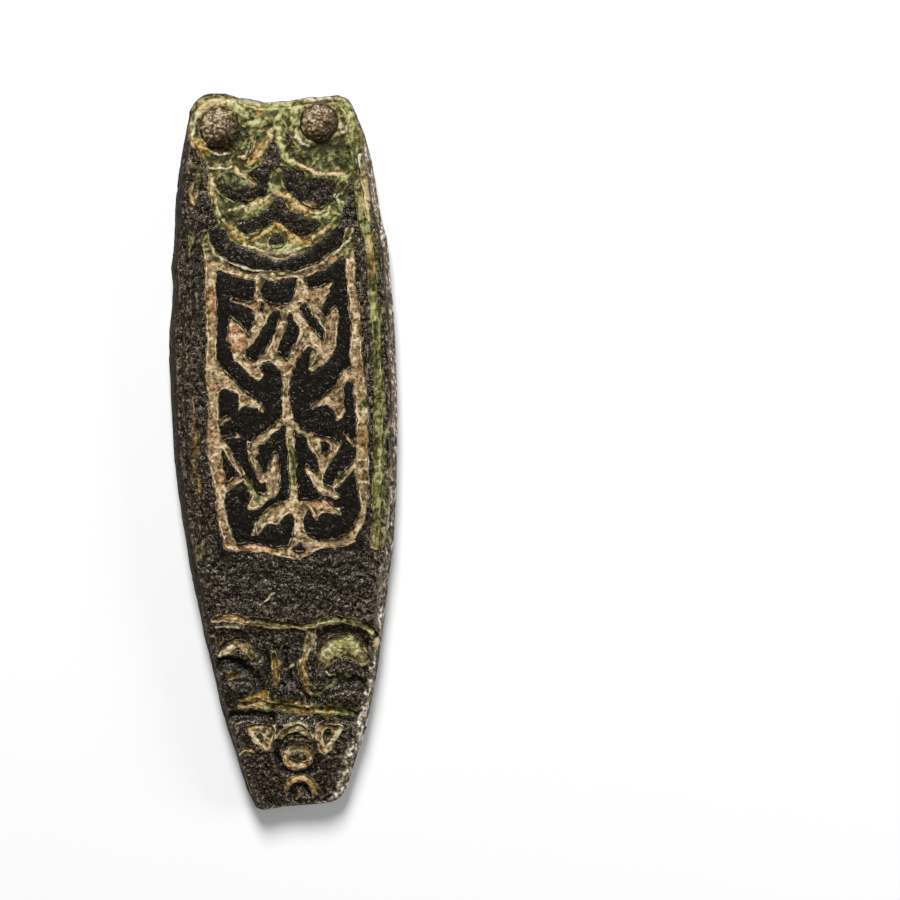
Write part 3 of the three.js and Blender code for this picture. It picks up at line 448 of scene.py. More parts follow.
def smoothShare(points):
    x, down = acrossAndDown(points)
    share = np.zeros(len(points))
    for x0, x1, d0, d1, amount in smoothAreas:
        sideways = smoothStep(-smoothRim, smoothRim, np.minimum(x - x0, x1 - x))
        lengthways = smoothStep(-smoothRim, smoothRim, np.minimum(down - d0, d1 - down))
        share = np.maximum(share, amount * (sideways * lengthways))
    return share


# Crusts and pale scratches drawn one by one: tint, width, how far they stand up, and (across, down) along
# them
crusts = [
    # round the rivets
    ("cream", 0.45, 0.14, (-6.8, 3.4), (-6.9, 2.6), (-6.5, 1.8)),
    ("tan", 0.7, 0.14, (-6.5, 1.8), (-5.8, 1.2), (-5, 0.9), (-4.2, 0.9)),
    ("ochre", 0.9, 0.16, (-6.6, 4.2), (-6.1, 4.6), (-5.8, 5)),
    ("pale", 0.8, 0.18, (-3.7, 1), (-3, 1.5), (-2.5, 2)),
    ("pale", 0.5, 0.16, (-2.5, 2.9), (-1.7, 2.7), (-1.1, 2.9), (-0.5, 2.4), (0.4, 2.3)),
    ("pale", 0.8, 0.22, (2, 1.4), (1.6, 2.1), (1.8, 2.9)),
    ("pale", 0.75, 0.18, (5.6, 1), (6.1, 1.8), (6.5, 2.8), (6.4, 3.8), (6.1, 4.3)),
    ("cream", 0.6, 0.12, (5.6, 3.2), (5.75, 3.6)),
    ("cream", 0.3, 0.1, (1.75, 3.3), (1.8, 4), (2.1, 4.5), (2.7, 4.8)),
    ("green", 0.6, 0.16, (-1.9, 3.4), (-1.5, 4), (-1.1, 3.4)),
    ("cream", 0.4, 0.16, (-3.6, 0.75), (-2.4, 0.95), (-1.2, 1.1)),
    ("pale", 0.7, 0.12, (-1.6, 1.25), (-0.4, 1.4), (0.8, 1.35), (1.8, 1.2)),
    ("pale", 0.5, 0.26, (0.6, 1.15), (1.8, 1), (2.6, 0.85)),
    ("cream", 0.4, 0.22, (2.4, 0.9), (3.8, 0.75), (5.2, 0.85)),
    # beside the stem
    ("pale", 0.6, 0.22, (0.3, 3.2), (0.35, 4.2), (0.5, 5.1), (0.9, 5.9), (1.5, 6.2)),
    ("tan", 0.55, 0.2, (-0.3, 3.3), (-0.45, 4.1), (-0.9, 4.9), (-1.4, 5.5)),
    ("ochre", 0.7, 0.16, (-1, 4.6), (-1.4, 5.3), (-2, 5.9)),
    ("tan", 0.3, 0.08, (-1.7, 4.3), (-1.9, 5), (-2.4, 5.5), (-3, 5.6)),
    ("cream", 0.25, 0.1, (-5.5, 5), (-4.7, 5.3), (-3.8, 5.2)),
    ("cream", 0.25, 0.12, (-5.6, 6.3), (-4.8, 6.4), (-4, 6.5), (-3.6, 6.3)),
    ("tan", 0.3, 0.1, (-3.3, 6.4), (-2.9, 7), (-2.2, 7.5), (-1.7, 7.9)),
    ("tan", 0.5, 0.14, (1.7, 6.3), (2.6, 6.7), (3.2, 7.1), (4.5, 7.15), (5.3, 7.15)),
    ("cream", 0.22, 0.1, (2.3, 6.6), (3, 7), (3.9, 7.05)),
    # in the leaf field
    ("tan", 0.45, 0.07, (-5.5, 7), (-5.45, 8), (-5.3, 8.6)),
    ("tan", 0.3, 0.07, (-5.3, 8.5), (-5.1, 9.2), (-4.9, 9.8)),
    ("pale", 0.3, 0.07, (-4.9, 9.8), (-4.6, 10.6), (-4.1, 11.3)),
    ("ochre", 0.5, 0.07, (-4.1, 11.2), (-3.5, 11.9), (-2.7, 12.6)),
    ("cream", 0.25, 0.08, (-2.8, 12.8), (-1.6, 13.35), (-0.2, 13.6), (1.2, 13.4), (2.6, 12.9)),
    ("pale", 0.6, 0.08, (-1.6, 12.9), (-0.3, 13.3), (0.9, 13.1)),
    ("tan", 0.4, 0.08, (2.6, 12.7), (3.6, 12.2), (4.3, 11.6)),
    ("pale", 0.3, 0.07, (4.3, 11.6), (5, 10.7), (5.5, 9.6)),
    ("pale", 0.6, 0.08, (5.3, 7.4), (5.8, 7.7), (5.9, 8.3)),
    ("cream", 0.2, 0.07, (4.9, 8.9), (5.2, 9.4), (5.3, 9.9)),
    ("green", 1.3, 0.05, (-5, 7.2), (-3.9, 7.4), (-3, 7.7)),
    ("pale", 0.75, 0.06, (-2.4, 9.8), (-1.4, 9.6), (-0.6, 9.1), (0, 8.6)),
    ("tan", 0.35, 0.08, (-2.2, 9.6), (-1.4, 9.4), (-0.6, 8.9), (0, 8.45), (0.6, 8.6)),
    ("ochre", 0.55, 0.06, (0.5, 8.7), (1.2, 9.3), (1.9, 9.9), (2.7, 10.3)),
    ("tan", 0.3, 0.08, (0.9, 8.8), (1.6, 9.5), (2.3, 10.1), (3.2, 10.4), (4, 10.2)),
    ("pale", 0.35, 0.06, (2.4, 10.5), (3.2, 10.8), (4, 10.6), (4.4, 10)),
    ("pale", 0.3, 0.07, (-0.5, 7.7), (-0.3, 8.4)),
    ("cream", 0.2, 0.06, (-4, 9.9), (-3.1, 9.7), (-2.4, 9.7)),
    ("pale", 0.22, 0.06, (-3.5, 11.3), (-3.2, 11.9), (-2.5, 12.2)),
    ("ochre", 0.45, 0.07, (-0.3, 11.1), (0.3, 11.5), (0.9, 12), (1.7, 12.6), (2.6, 12.7)),
    ("ochre", 0.28, 0.06, (-0.4, 11.3), (-0.9, 11.8), (-1.7, 12.2), (-2.4, 12.5)),
    # the borders
    ("tan", 0.3, 0.04, (-7, 7.6), (-7.1, 8.6), (-6.9, 9.3)),
    ("green", 0.6, 0.04, (-7.25, 11.6), (-7.25, 13.4)),
    ("cream", 0.3, 0.06, (7, 5.6), (6.9, 7)),
    ("green", 1.1, 0.04, (7.1, 6.4), (7.4, 9), (7.7, 12), (7.8, 16)),
    ("green", 1.3, 0.04, (7.75, 15.6), (7.9, 19), (8, 22.6)),
    ("green", 1.1, 0.04, (8.1, 23.8), (8.15, 27.6)),
    ("green", 1.35, 0.04, (8.05, 28.6), (8, 32), (7.85, 36.3)),
    ("tan", 0.5, 0.08, (7.15, 7.2), (7.35, 9.2), (7.55, 11)),
    ("ochre", 0.4, 0.06, (7.6, 12.4), (7.75, 14.6), (7.7, 15.8)),
    ("pale", 0.3, 0.06, (7.7, 17.2), (7.85, 19.4)),
    ("pale", 0.25, 0.06, (8.1, 22.6), (8.2, 25.6)),
    ("pale", 0.25, 0.06, (7.9, 29.5), (7.85, 33)),
    ("tan", 0.2, 0.03, (-7.6, 25.4), (-7.5, 27.2)),
    ("ochre", 0.3, 0.03, (-7.45, 28.4), (-7.4, 30.2)),
    ("ochre", 0.22, 0.03, (-7.3, 31.8), (-7.2, 33.2)),
    # round the panel
    ("cream", 0.25, 0.1, (-5.9, 12.7), (-5.4, 13.4), (-4.6, 14.1), (-3.4, 14.6), (-2.2, 15), (-0.6, 15.3)),
    ("pale", 0.22, 0.1, (-1.6, 15.3), (0.2, 15.4), (1.8, 15.2)),
    ("cream", 0.25, 0.1, (5.5, 13.1), (4.6, 13.8), (3.5, 14.5), (2.4, 15)),
    ("cream", 0.22, 0.1, (6.3, 11.9), (6, 12.6), (5.6, 13.2)),
    # The strokes on the bulging strands near (-3, 26) and (2.6, 22.7) are painted highlight as well as crust
    ("tan", 0.35, 0.06, (-3.7, 26.3), (-2.9, 25.9), (-2, 26.2)),
    ("tan", 0.35, 0.06, (2.3, 23.4), (2.6, 22.6), (3, 22)),
    ("cream", 0.35, 0.08, (-2.9, 36.9), (-2.6, 36.2), (-1.9, 35.4)),
    ("ochre", 0.5, 0.08, (2.3, 34.6), (3.4, 34.9), (4.2, 35.2)),
    ("ochre", 0.6, 0.06, (-3.4, 38.1), (-2.2, 38.2), (-1.2, 38.4)),
    ("pale", 0.3, 0.06, (0.3, 28.8), (0.45, 31), (0.5, 33.2)),
    # over the head
    # This thin cream line is a painted highlight along a ridge
    ("cream", 0.14, 0.12, (-2.5, 43), (-1.9, 42.4), (-1.3, 41.9)),
    ("tan", 0.2, 0.1, (-6.4, 44.1), (-5, 44.1), (-3.6, 44.4), (-2.2, 44.6)),
    ("cream", 0.16, 0.1, (-6.2, 44.6), (-5.2, 44.55), (-4.3, 44.65)),
    ("ochre", 0.3, 0.08, (-5.8, 43.8), (-4.6, 43.75), (-3.6, 44.1)),
    ("tan", 0.2, 0.08, (-2.4, 44.6), (-0.8, 44.8), (1.2, 44.95)),
    ("pale", 0.45, 0.1, (1.2, 44.9), (2.4, 44.6), (3.6, 44.3), (5, 44.3), (6, 44.7), (6.8, 45.5)),
    ("ochre", 0.25, 0.06, (1.4, 45), (2.6, 44.75), (3.8, 44.6)),
    # the ears and the crown
    ("tan", 0.34, 0.08, (-6, 46.95), (-5.3, 46.4), (-4.5, 46), (-3.9, 46.2), (-3.2, 46.85), (-2.9, 47.1)),
    ("cream", 0.2, 0.08, (-5.9, 46.8), (-5.3, 46.35), (-4.6, 45.95)),
    ("ochre", 0.3, 0.04, (-5.4, 48.8), (-4.9, 48.6), (-4.5, 48.7)),
    ("ochre", 0.28, 0.05, (-1.4, 47), (-1.35, 48.2), (-1.2, 49.3)),
    ("pale", 0.2, 0.05, (-1.6, 46.8), (-1.55, 47.6), (-1.5, 48.3)),
    ("cream", 0.2, 0.06, (-0.8, 48.3), (-0.3, 48.15), (0.2, 47.9)),
    ("cream", 0.2, 0.1, (1.5, 45.2), (1.15, 46.2), (0.9, 47.1), (0.7, 48)),
    ("cream", 0.5, 0.08, (1.9, 45.7), (1.8, 46.6)),
    ("ochre", 0.35, 0.05, (1.15, 47.2), (0.95, 48.2), (1.1, 49.4), (1.5, 50.3)),
    ("green", 0.4, 0.05, (1.9, 50.4), (3, 49.8), (4, 49.2), (4.9, 48.9)),
    ("pale", 0.22, 0.05, (2.2, 50.3), (3, 49.8), (3.8, 49.3)),
    ("pale", 1.1, 0.05, (2.8, 47.3), (3.5, 46.6), (4.4, 46.3), (5.3, 46.7)),
    ("cream", 0.45, 0.06, (2.5, 47.9), (2.6, 47.2), (3.1, 46.7)),
    ("cream", 0.2, 0.05, (2.8, 48.6), (3.1, 49), (3.6, 48.9)),
    # the brow
    ("green", 1.5, 0.08, (-4.8, 51.2), (-3.4, 51), (-1.6, 51.1), (0.4, 51.5), (2.4, 51.8), (4.6, 52.1)),
    ("ochre", 0.9, 0.08, (-4, 51), (-3.2, 50.8), (-2.4, 50.4)),
    ("ochre", 0.5, 0.06, (-2, 51), (-1.2, 51.2)),
    ("tan", 0.3, 0.1, (-4.6, 51.3), (-3.4, 51.2), (-2.2, 50.9)),
    ("pale", 0.4, 0.08, (-1.8, 51.1), (-0.8, 51.3), (0, 51.3)),
    ("ochre", 0.9, 0.06, (-0.1, 51.3), (0.6, 51.6), (1.2, 51.9)),
    ("tan", 0.3, 0.1, (0.2, 51.2), (0.9, 51.4), (1.4, 51.6)),
    ("ochre", 0.5, 0.05, (1.9, 51.8), (2.9, 51.9)),
    ("pale", 0.5, 0.08, (2.8, 51.9), (3.6, 51.9), (4.3, 52.1)),
    # eyes, nose and mouth
    ("tan", 0.3, 0.1, (-3.9, 53.1), (-2.8, 52.95), (-1.7, 53)),
    ("tan", 0.3, 0.1, (-1.7, 53), (-1.8, 53.9), (-2.4, 54.9), (-3.3, 54.1), (-3.9, 53.1)),
    ("cream", 0.18, 0.1, (-3.8, 53.3), (-3.3, 54.15), (-2.5, 54.95)),
    ("tan", 0.28, 0.1, (2.1, 52.95), (3, 52.95), (3.95, 53.15), (3.2, 54.3)),
    ("tan", 0.28, 0.1, (3.2, 54.3), (2.5, 55.15), (2, 54.3), (2.1, 52.95)),
    ("cream", 0.18, 0.1, (3.9, 53.25), (3.2, 54.4), (2.5, 55.15)),
    ("tan", 0.5, 0.08, (-1.5, 53.9), (-1, 53.5), (-0.4, 53.2), (0.4, 53.1), (1, 53.4), (1.5, 53.9)),
    ("cream", 0.2, 0.1, (-1.2, 53.7), (-0.4, 53.2), (0.4, 53.1)),
    ("pale", 0.35, 0.06, (-0.8, 53), (0.2, 52.8), (1, 53.1)),
    ("tan", 0.36, 0.1, (-0.8, 55.6), (-0.5, 54.9), (0.2, 54.65), (0.9, 54.9), (1.2, 55.6)),
    # The cream on the upper arc of the nose ring is painted highlight as well as crust
    ("cream", 0.2, 0.1, (-0.8, 55.2), (-0.3, 54.7), (0.4, 54.6), (1, 54.9)),
    ("ochre", 0.38, 0.1, (1.2, 55.6), (0.9, 56.25), (0.2, 56.5), (-0.5, 56.25), (-0.8, 55.6)),
    ("ochre", 0.42, 0.1, (-0.8, 58), (-0.35, 57.55), (0.4, 57.4), (1, 57.7), (1.4, 58.2), (1.6, 58.9)),
    ("tan", 0.18, 0.06, (-4.7, 55.4), (-4.2, 54.95), (-3.4, 55)),
]
crustTints = ("cream", "ochre", "green", "pale", "tan")
crustWander = 0.3  # how far a drawn crust strays from its path, in mm


def crustShares(points):
    x, down = strayed(points, crustWander, 0.6, (141, 147))
    whole = 0.68 + 0.32 * smoothStep(0.36, 0.52, roughNoise(points, 0.7, 153))
    fatter = 0.8 + 0.4 * roughNoise(points, 0.7, 159)
    shares = {tint: np.zeros(len(points)) for tint in crustTints}
    rise = np.zeros(len(points))
    for tint, width, height, *path in crusts:
        share = strokeShare(x, down, path, width * fatter) * whole
        shares[tint] = np.maximum(shares[tint], share)
        rise = np.maximum(rise, height * share)
    return shares, rise


# Where the finish is lighter (above zero) or darker: across, down, half width, half length, amount. Rows
# under the rivets and in hollows and undercuts are painted shade; the others change the tone of the finish
shades = [
    (-4.4, 5, 1.8, 1, -0.52), (3.8, 4.9, 1.9, 0.6, -0.4), (2.6, 5.8, 1.4, 0.5, -0.2),
    (-2.6, 3.4, 0.5, 1, -0.25), (-7.2, 5.4, 0.8, 1.6, 0.14), (0, 3.4, 0.7, 0.9, -0.12),
    (-3.6, 10.6, 0.8, 0.7, -0.2), (-1.2, 12, 1, 0.3, -0.15), (4.8, 6.3, 1.4, 0.5, -0.22),
    (-0.9, 8.3, 0.5, 0.8, -0.3), (5.6, 10, 0.7, 2.2, -0.3), (-5.6, 10.6, 0.5, 1.5, -0.1),
    (1.9, 12.1, 1, 0.4, -0.2), (-4.2, 10.3, 0.7, 0.8, -0.22), (0.2, 7.4, 0.4, 0.7, -0.12),
    (1.2, 4.4, 0.4, 0.9, -0.25), (7.9, 27, 0.9, 13, 0.1), (7.4, 9.5, 0.6, 4.5, 0.2),
    (-4.8, 0.7, 2.2, 0.6, 0.2), (0.6, 41, 8, 3, -0.1), (0, 49.5, 7, 5, -0.12), (0, 57, 4, 3, -0.04),
    (-5.2, 47.7, 1.4, 0.9, -0.35), (-4, 52, 2.4, 0.4, -0.4), (-4.6, 49.9, 1.4, 0.9, -0.25),
    (-0.2, 50, 1.3, 0.8, -0.15), (-8, 24, 1.2, 16, 0.06), (-6.6, 12, 0.5, 6, -0.08),
    (4, 56.5, 1.3, 2.8, 0.05), (0.4, 51.5, 5, 0.5, 0.14), (-4.6, 46.3, 1.9, 0.8, 0.08),
    (-0.2, 13.3, 3.6, 0.7, 0.1), (-7.4, 3.5, 1, 3.5, 0.06), (7.6, 4.5, 0.8, 4, 0.1), (-1, 1.2, 2, 0.5, 0.1),
]


def shadeAmount(points):
    x, down = acrossAndDown(points)
    total = np.zeros(len(points))
    for *spot, amount in shades:
        total += amount * spotShare(x, down, spot, 0.5, 1.2)
    return total


# Where the carving is worn soft: width, and (across, down) along the middle line
meltedStrokes = [
    (2, (-7, 3), (-6.6, 1.5), (-5.6, 0.9), (-4.2, 0.7), (-2.4, 0.9), (-1, 1.15), (1, 1.1), (2.6, 0.8)),
    (1.8, (2.6, 0.8), (4.6, 0.8), (5.8, 1.1), (6.5, 2.4), (6.7, 4.4)),
]
meltWidth = 0.45
metalShare = np.maximum(softened(hasMetal, meltWidth), 0.01)
softTop = softened(np.where(hasMetal, planTop, 0), meltWidth) / metalShare


def meltShare(points):
    x, down = acrossAndDown(points)
    share = np.maximum.reduce([strokeShare(x, down, path, width) for width, *path in meltedStrokes])
    return share * smoothStep(0.62, 0.8, atPoints(inside, points)) * smoothStep(2.8, 3.2, points[:, 2])


# Short bent threads lying in the crust, each stamped on the plan as a row of soft dots
threadLook = {
    "count": 1400,
    "across": (-6.8, 8.2),  # where they start
    "down": (0.8, 57),
    "bend": 1.2,
    "length": (0.4, 1.3),
    "width": 0.075,  # of each soft dot
    "seed": 5,
}


def threadGrid(look):
    random = np.random.default_rng(look["seed"])
    grid = np.zeros_like(planTop)
    cell = planGrid["cell"]
    reach = int(3 * look["width"] / cell)
    offsets = np.arange(-reach, reach + 1)
    for _ in range(look["count"]):
        place = np.array([random.uniform(*look["across"]), upperEnd - random.uniform(*look["down"])])
        turn, bend = random.uniform(0, 2 * math.pi), random.normal(0, look["bend"])
        length, strength = random.uniform(*look["length"]), random.uniform(0.5, 1)
        steps = int(length / cell)
        for step in range(steps):
            place = place + cell * np.array([math.cos(turn), math.sin(turn)])
            turn += bend * cell / length * 2
            column = int(round((place[0] - gridX[0]) / cell))
            row = int(round((place[1] - gridY[0]) / cell))
            if not (reach < column < len(gridX) - reach - 1 and reach < row < len(gridY) - reach - 1):
                break
            across, along = gridX[column + offsets] - place[0], gridY[row + offsets] - place[1]
            away = np.hypot(across[None, :], along[:, None])
            fade = strength * math.sin(math.pi * (step + 1) / (steps + 1)) ** 0.5
            window = grid[row - reach:row + reach + 1, column - reach:column + reach + 1]
            np.maximum(window, fade * np.exp(-0.5 * (away / look["width"]) ** 2), out=window)
    return grid


threads = threadGrid(threadLook)
print("crust tables ready")


# Each point moved towards its neighbours, round by round
def evenedOut(mesh, points, rounds):
    pairs = np.empty(len(mesh.edges) * 2, np.int32)
    mesh.edges.foreach_get("vertices", pairs)
    first, second = pairs.reshape(-1, 2).T
    count = np.bincount(pairs, minlength=len(points))
    soft = points.copy()
    for _ in range(rounds):
        for axis in range(3):
            value = soft[:, axis]
            total = np.bincount(first, value[second], len(points))
            total = total + np.bincount(second, value[first], len(points))
            soft[:, axis] = 0.5 * value + 0.5 * total / count
    return soft


# How far each point stands out of its surroundings: above zero on crests, below zero in hollows. The finishes
# use it as painted light on crests and painted shade in hollows
def crestHeight(mesh, points, look):
    soft = evenedOut(mesh, points, look["crestRounds"])
    mesh.vertices.foreach_set("co", points.astype(np.float32).ravel())
    mesh.update()
    height = np.sum((points - soft) * read(mesh.vertices, "normal", 3), axis=1)
    return np.clip(height / look["crestRange"], -0.5, 0.5)


# Casting
castingLook = {
    "voxel": 0.08,
    "softening": 1,
    "strandRounding": 0.1,
    "sideWander": 0.34,  # how far the carved walls stray sideways
    "fieldEnd": 13.7,  # how far down the leaf field reaches
    "deposit": 0.14,  # crust in the panel
    "fieldCrust": 0.28,  # lumpier crust in the leaf field
    "bareFill": 0.3,  # how far an emptied border groove is worn away
    "bank": 0.17,  # crust heaped against the foot of a wall
    "swell": 0.14,  # slow lumps
    "lumps": 0.13,
    "grain": 0.15,
    "pits": 0.1,
    "threads": 0.06,
    "crestRounds": 10,
    "crestRange": 0.07,
}


# Where each point of the casting lies, as shares from 0 to 1, or in mm
def castingZones(points, normals, look):
    x, down = acrossAndDown(points)
    height, upwards = points[:, 2], normals[:, 2]
    worn, rightDrop, fromRight = edgeWear(points, rightWear, rightEdge, 1)
    _, leftDrop, fromLeft = edgeWear(points, leftWear, leftEdge, -1)
    margin = np.minimum(fromLeft, fromRight)
    carving = atPoints(softened(carved, planGrid["wallBand"]), points)
    below = faceLevel(points[:, 1], planGrid) - height
    onFace = smoothStep(0, 0.4, upwards) * smoothStep(2.4, 2.8, height)
    outerLeft = smoothStep(-6.5, -6.8, x) * smoothStep(5.6, 6.6, down)
    fieldEdge = look["fieldEnd"] + 1.6 * (roughNoise(points, 1, 17) - 0.5)
    foot = smoothStep(0.5, 0.72, carving) * smoothStep(0.99, 0.86, carving)
    border = np.maximum(smoothStep(6.2, 6.8, x), 0.6 * smoothStep(-6.2, -6.8, x))
    drawn, rise = crustShares(points)
    return SimpleNamespace(
        down=down,
        margin=margin,  # distance from the outline
        onFace=onFace,
        high=smoothStep(1.9, 3.3, height),
        carving=carving,  # 1 where the face is carved away
        nearCarving=atPoints(softened(carved, planGrid["nearBand"]), points),
        depth=np.clip(below / planGrid["reliefDepth"], 0, 1) * smoothStep(1.15, 0.85, below),
        foot=foot * smoothStep(0.44, 0.62, roughNoise(points, 0.8, 19)),  # the floor beside a wall, in places
        atWall=smoothStep(0.25, 0.6, carving) * smoothStep(1, 0.93, carving),
        edge=smoothStep(0.88, 0.6, upwards) * smoothStep(1.6, 1.2, margin),  # steep sides of the outline
        worn=worn,  # the sloping strip on the right
        rightDrop=rightDrop,
        leftDrop=leftDrop,
        melted=meltShare(points),
        rough=1 - smoothShare(points) * onFace,  # 0 on the smooth strands
        bare=np.maximum(patchShare(points, patches["bare"], 101), outerLeft),
        leafField=smoothStep(fieldEdge + 0.4, fieldEdge - 0.4, down),
        streaky=border * smoothStep(45, 41, down) * smoothStep(0.8, 2.5, down) * (1 - worn),
        thread=atPoints(threads, points) * onFace,
        drawn=drawn,  # the drawn crusts, one share for each tint
        rise=rise,
    )


# What carving, sculpting and wear take away, less what crusts and threads put back, in mm
def castingSink(points, zone, look):
    carving, held = zone.carving, 1 - zone.bare
    raised = zone.onFace * (1 - carving)
    sink = look["strandRounding"] * raised * zone.nearCarving * (1 - zone.melted)
    sink += zone.melted * (points[:, 2] - atPoints(softTop, points))
    sink += zone.high * (sculptDepth(points, zone.margin) + zone.rightDrop + zone.leftDrop)
    ridged = 1 - np.abs(2 * roughNoise(points, 0.8, 13, 2) - 1)
    lumpy = 0.15 + 1.3 * roughNoise(points, 0.8, 11) + 0.5 * (ridged - 0.6)
    crust = (look["deposit"] + (look["fieldCrust"] - look["deposit"]) * zone.leafField) * held * lumpy
    crust = crust + look["bank"] * zone.foot * held
    leftGroove = look["bareFill"] * zone.bare * smoothStep(-6.2, -6.6, points[:, 0])
    drawn = zone.onFace * zone.rise * (0.3 + 0.7 * carving)
    sink -= (crust + leftGroove) * carving * zone.depth + drawn
    sink -= look["threads"] * zone.thread * carving
    return sink


# Lumps, grain and pits along the normals, in mm
def castingRelief(points, zone, look):
    rough, streaky = zone.rough, zone.streaky
    amount = (0.2 + 0.8 * rough) * (0.45 + 0.55 * zone.onFace)
    swell = look["swell"] * amount * (roughNoise(points, 2, 21) - 0.7)
    lumps = look["lumps"] * amount * (roughNoise(points, 0.8, 31, 2) - 0.75)
    drawnOut = points * np.array((1, 0.35, 1))
    grainNoise = (1 - streaky) * roughNoise(points, 0.34, 36, 2) + streaky * roughNoise(drawnOut, 0.3, 38, 2)
    grain = look["grain"] * amount * (grainNoise - 0.6)
    pits = -look["pits"] * rough * smoothStep(0.6, 0.75, roughNoise(points, 0.42, 41, 2))
    return swell + lumps + grain + pits


# The carved walls stray sideways, but not close to the outline
def swayWalls(points, zone, look):
    free = smoothStep(0.8, 1.6, zone.margin) * smoothStep(2.6, 3.2, points[:, 2])
    sway = look["sideWander"] * free * smoothStep(0.8, 2, zone.down)
    for axis, seed in ((0, 61), (1, 67)):
        points[:, axis] += sway * (roughNoise(points, 0.7, seed, 2) - 0.5)


# What the material reads at each point of the finished shape
def castingFinish(mesh, points, zone, look):
    onFace, down, drawn, leafField = zone.onFace, zone.down, zone.drawn, zone.leafField
    elsewhere = 0.8 * smoothStep(0.56, 0.68, roughNoise(points, 4.5, 91)) * (1 - onFace)
    headTint = smoothStep(43, 44, down) * (1 - 0.8 * smoothStep(52.2, 53, down))
    green, ochre, cream = (patchShare(points, patches[name], seed)
                           for name, seed in (("green", 111), ("ochre", 121), ("cream", 131)))
    ragged = 0.5 * (roughNoise(points, 0.8, 23) - 0.5)
    return {
        "deposit": onFace * np.maximum(zone.carving, 0.9 * zone.melted) * (1 - zone.bare),
        "rim": onFace * zone.foot,
        "green": np.maximum(np.maximum(green, drawn["green"]) * onFace, elsewhere),
        "ochre": np.maximum(0.6 * ochre, drawn["ochre"]) * onFace,
        "cream": np.maximum(0.5 * cream, drawn["cream"] + 0.3 * zone.foot * leafField) * onFace,
        "pale": drawn["pale"] * onFace,
        "tan": drawn["tan"] * onFace,
        "thread": zone.thread,
        "streaky": zone.streaky,
        "edge": zone.edge,
        "pitted": zone.rough,
        "flank": smoothStep(0.12, 0.5, zone.worn + ragged) * smoothStep(0.6, 1.6, points[:, 2]),
        "khaki": np.maximum.reduce([leafField, smoothStep(6.9, 7.3, points[:, 0]), 0.6 * headTint]),
        "crest": np.maximum(crestHeight(mesh, points, look), -0.5 + 0.34 * zone.atWall),
        "shade": shadeAmount(points) * onFace,
    }


def makeCasting(look):
    mesh, points, normals = fineSkin("strap_end_casting", look)
    print("casting skin", len(points), "points")
    zone = castingZones(points, normals, look)
    sink = castingSink(points, zone, look)
    points = points + normals * castingRelief(points, zone, look)[:, None]
    points[:, 2] -= sink
    swayWalls(points, zone, look)
    points = evenedOut(mesh, points, 2)
    return mesh, points, castingFinish(mesh, points, zone, look)


# Node helpers: the ones named add give back the socket with their result
def addNode(tree, kind, inputs, output=0, **settings):
    node = tree.nodes.new(kind)
    for key, value in settings.items():
        setattr(node, key, value)
    for key, value in inputs.items():
        if isinstance(value, bpy.types.NodeSocket):
            tree.links.new(value, node.inputs[key])
        else:
            node.inputs[key].default_value = value
    return node.outputs[output]


def addNoise(tree, size, detail=3, roughness=0.6, distortion=0.0):
    place = addNode(tree, "ShaderNodeTexCoord", {}, "Object")
    values = {"Vector": place, "Scale": 1 / (size * millimetre), "Detail": detail, "Roughness": roughness,
              "Distortion": distortion}
    return addNode(tree, "ShaderNodeTexNoise", values, "Fac")


def addAttribute(tree, name):
    return addNode(tree, "ShaderNodeAttribute", {}, "Fac", attribute_name=name)


def addMath(tree, operation, first, second):
    return addNode(tree, "ShaderNodeMath", {0: first, 1: second}, operation=operation)


def addTimes(tree, first, second):
    return addMath(tree, "MULTIPLY", first, second)


def addSum(tree, first, *others):
    for other in others:
        first = addMath(tree, "ADD", first, other)
    return first


def addBand(tree, value, low, high, fromValue=0.0, toValue=1.0):
    values = {"Value": value, "From Min": low, "From Max": high, "To Min": fromValue, "To Max": toValue}
    return addNode(tree, "ShaderNodeMapRange", values, interpolation_type="SMOOTHSTEP")


def addEven(tree, value, low=0.36, high=0.64):
    return addNode(tree, "ShaderNodeMapRange", {"Value": value, "From Min": low, "From Max": high})


def addBlend(tree, share, first, second, kind="FLOAT"):
    values = {"Factor": share, "A": first, "B": second}
    return addNode(tree, "ShaderNodeMix", values, "Result", data_type=kind)


def addMix(tree, share, first, second):
    return addBlend(tree, share, first, second, "RGBA")


def addRamp(tree, value, stops):
    node = tree.nodes.new("ShaderNodeValToRGB")
    for i, (place, colour) in enumerate(stops):
        stop = node.color_ramp.elements[i] if i < 2 else node.color_ramp.elements.new(place)
        stop.position = place
        stop.color = (*colour, 1)
    tree.links.new(value, node.inputs["Fac"])
    return node.outputs["Color"]


def newMaterial(name):
    material = bpy.data.materials.new(name)
    material.use_nodes = True
    return material, material.node_tree, material.node_tree.nodes["Principled BSDF"]


def addBump(tree, strength, height, bumps):
    values = {"Strength": strength, "Distance": height * millimetre, "Height": bumps}
    return addNode(tree, "ShaderNodeBump", values, "Normal")


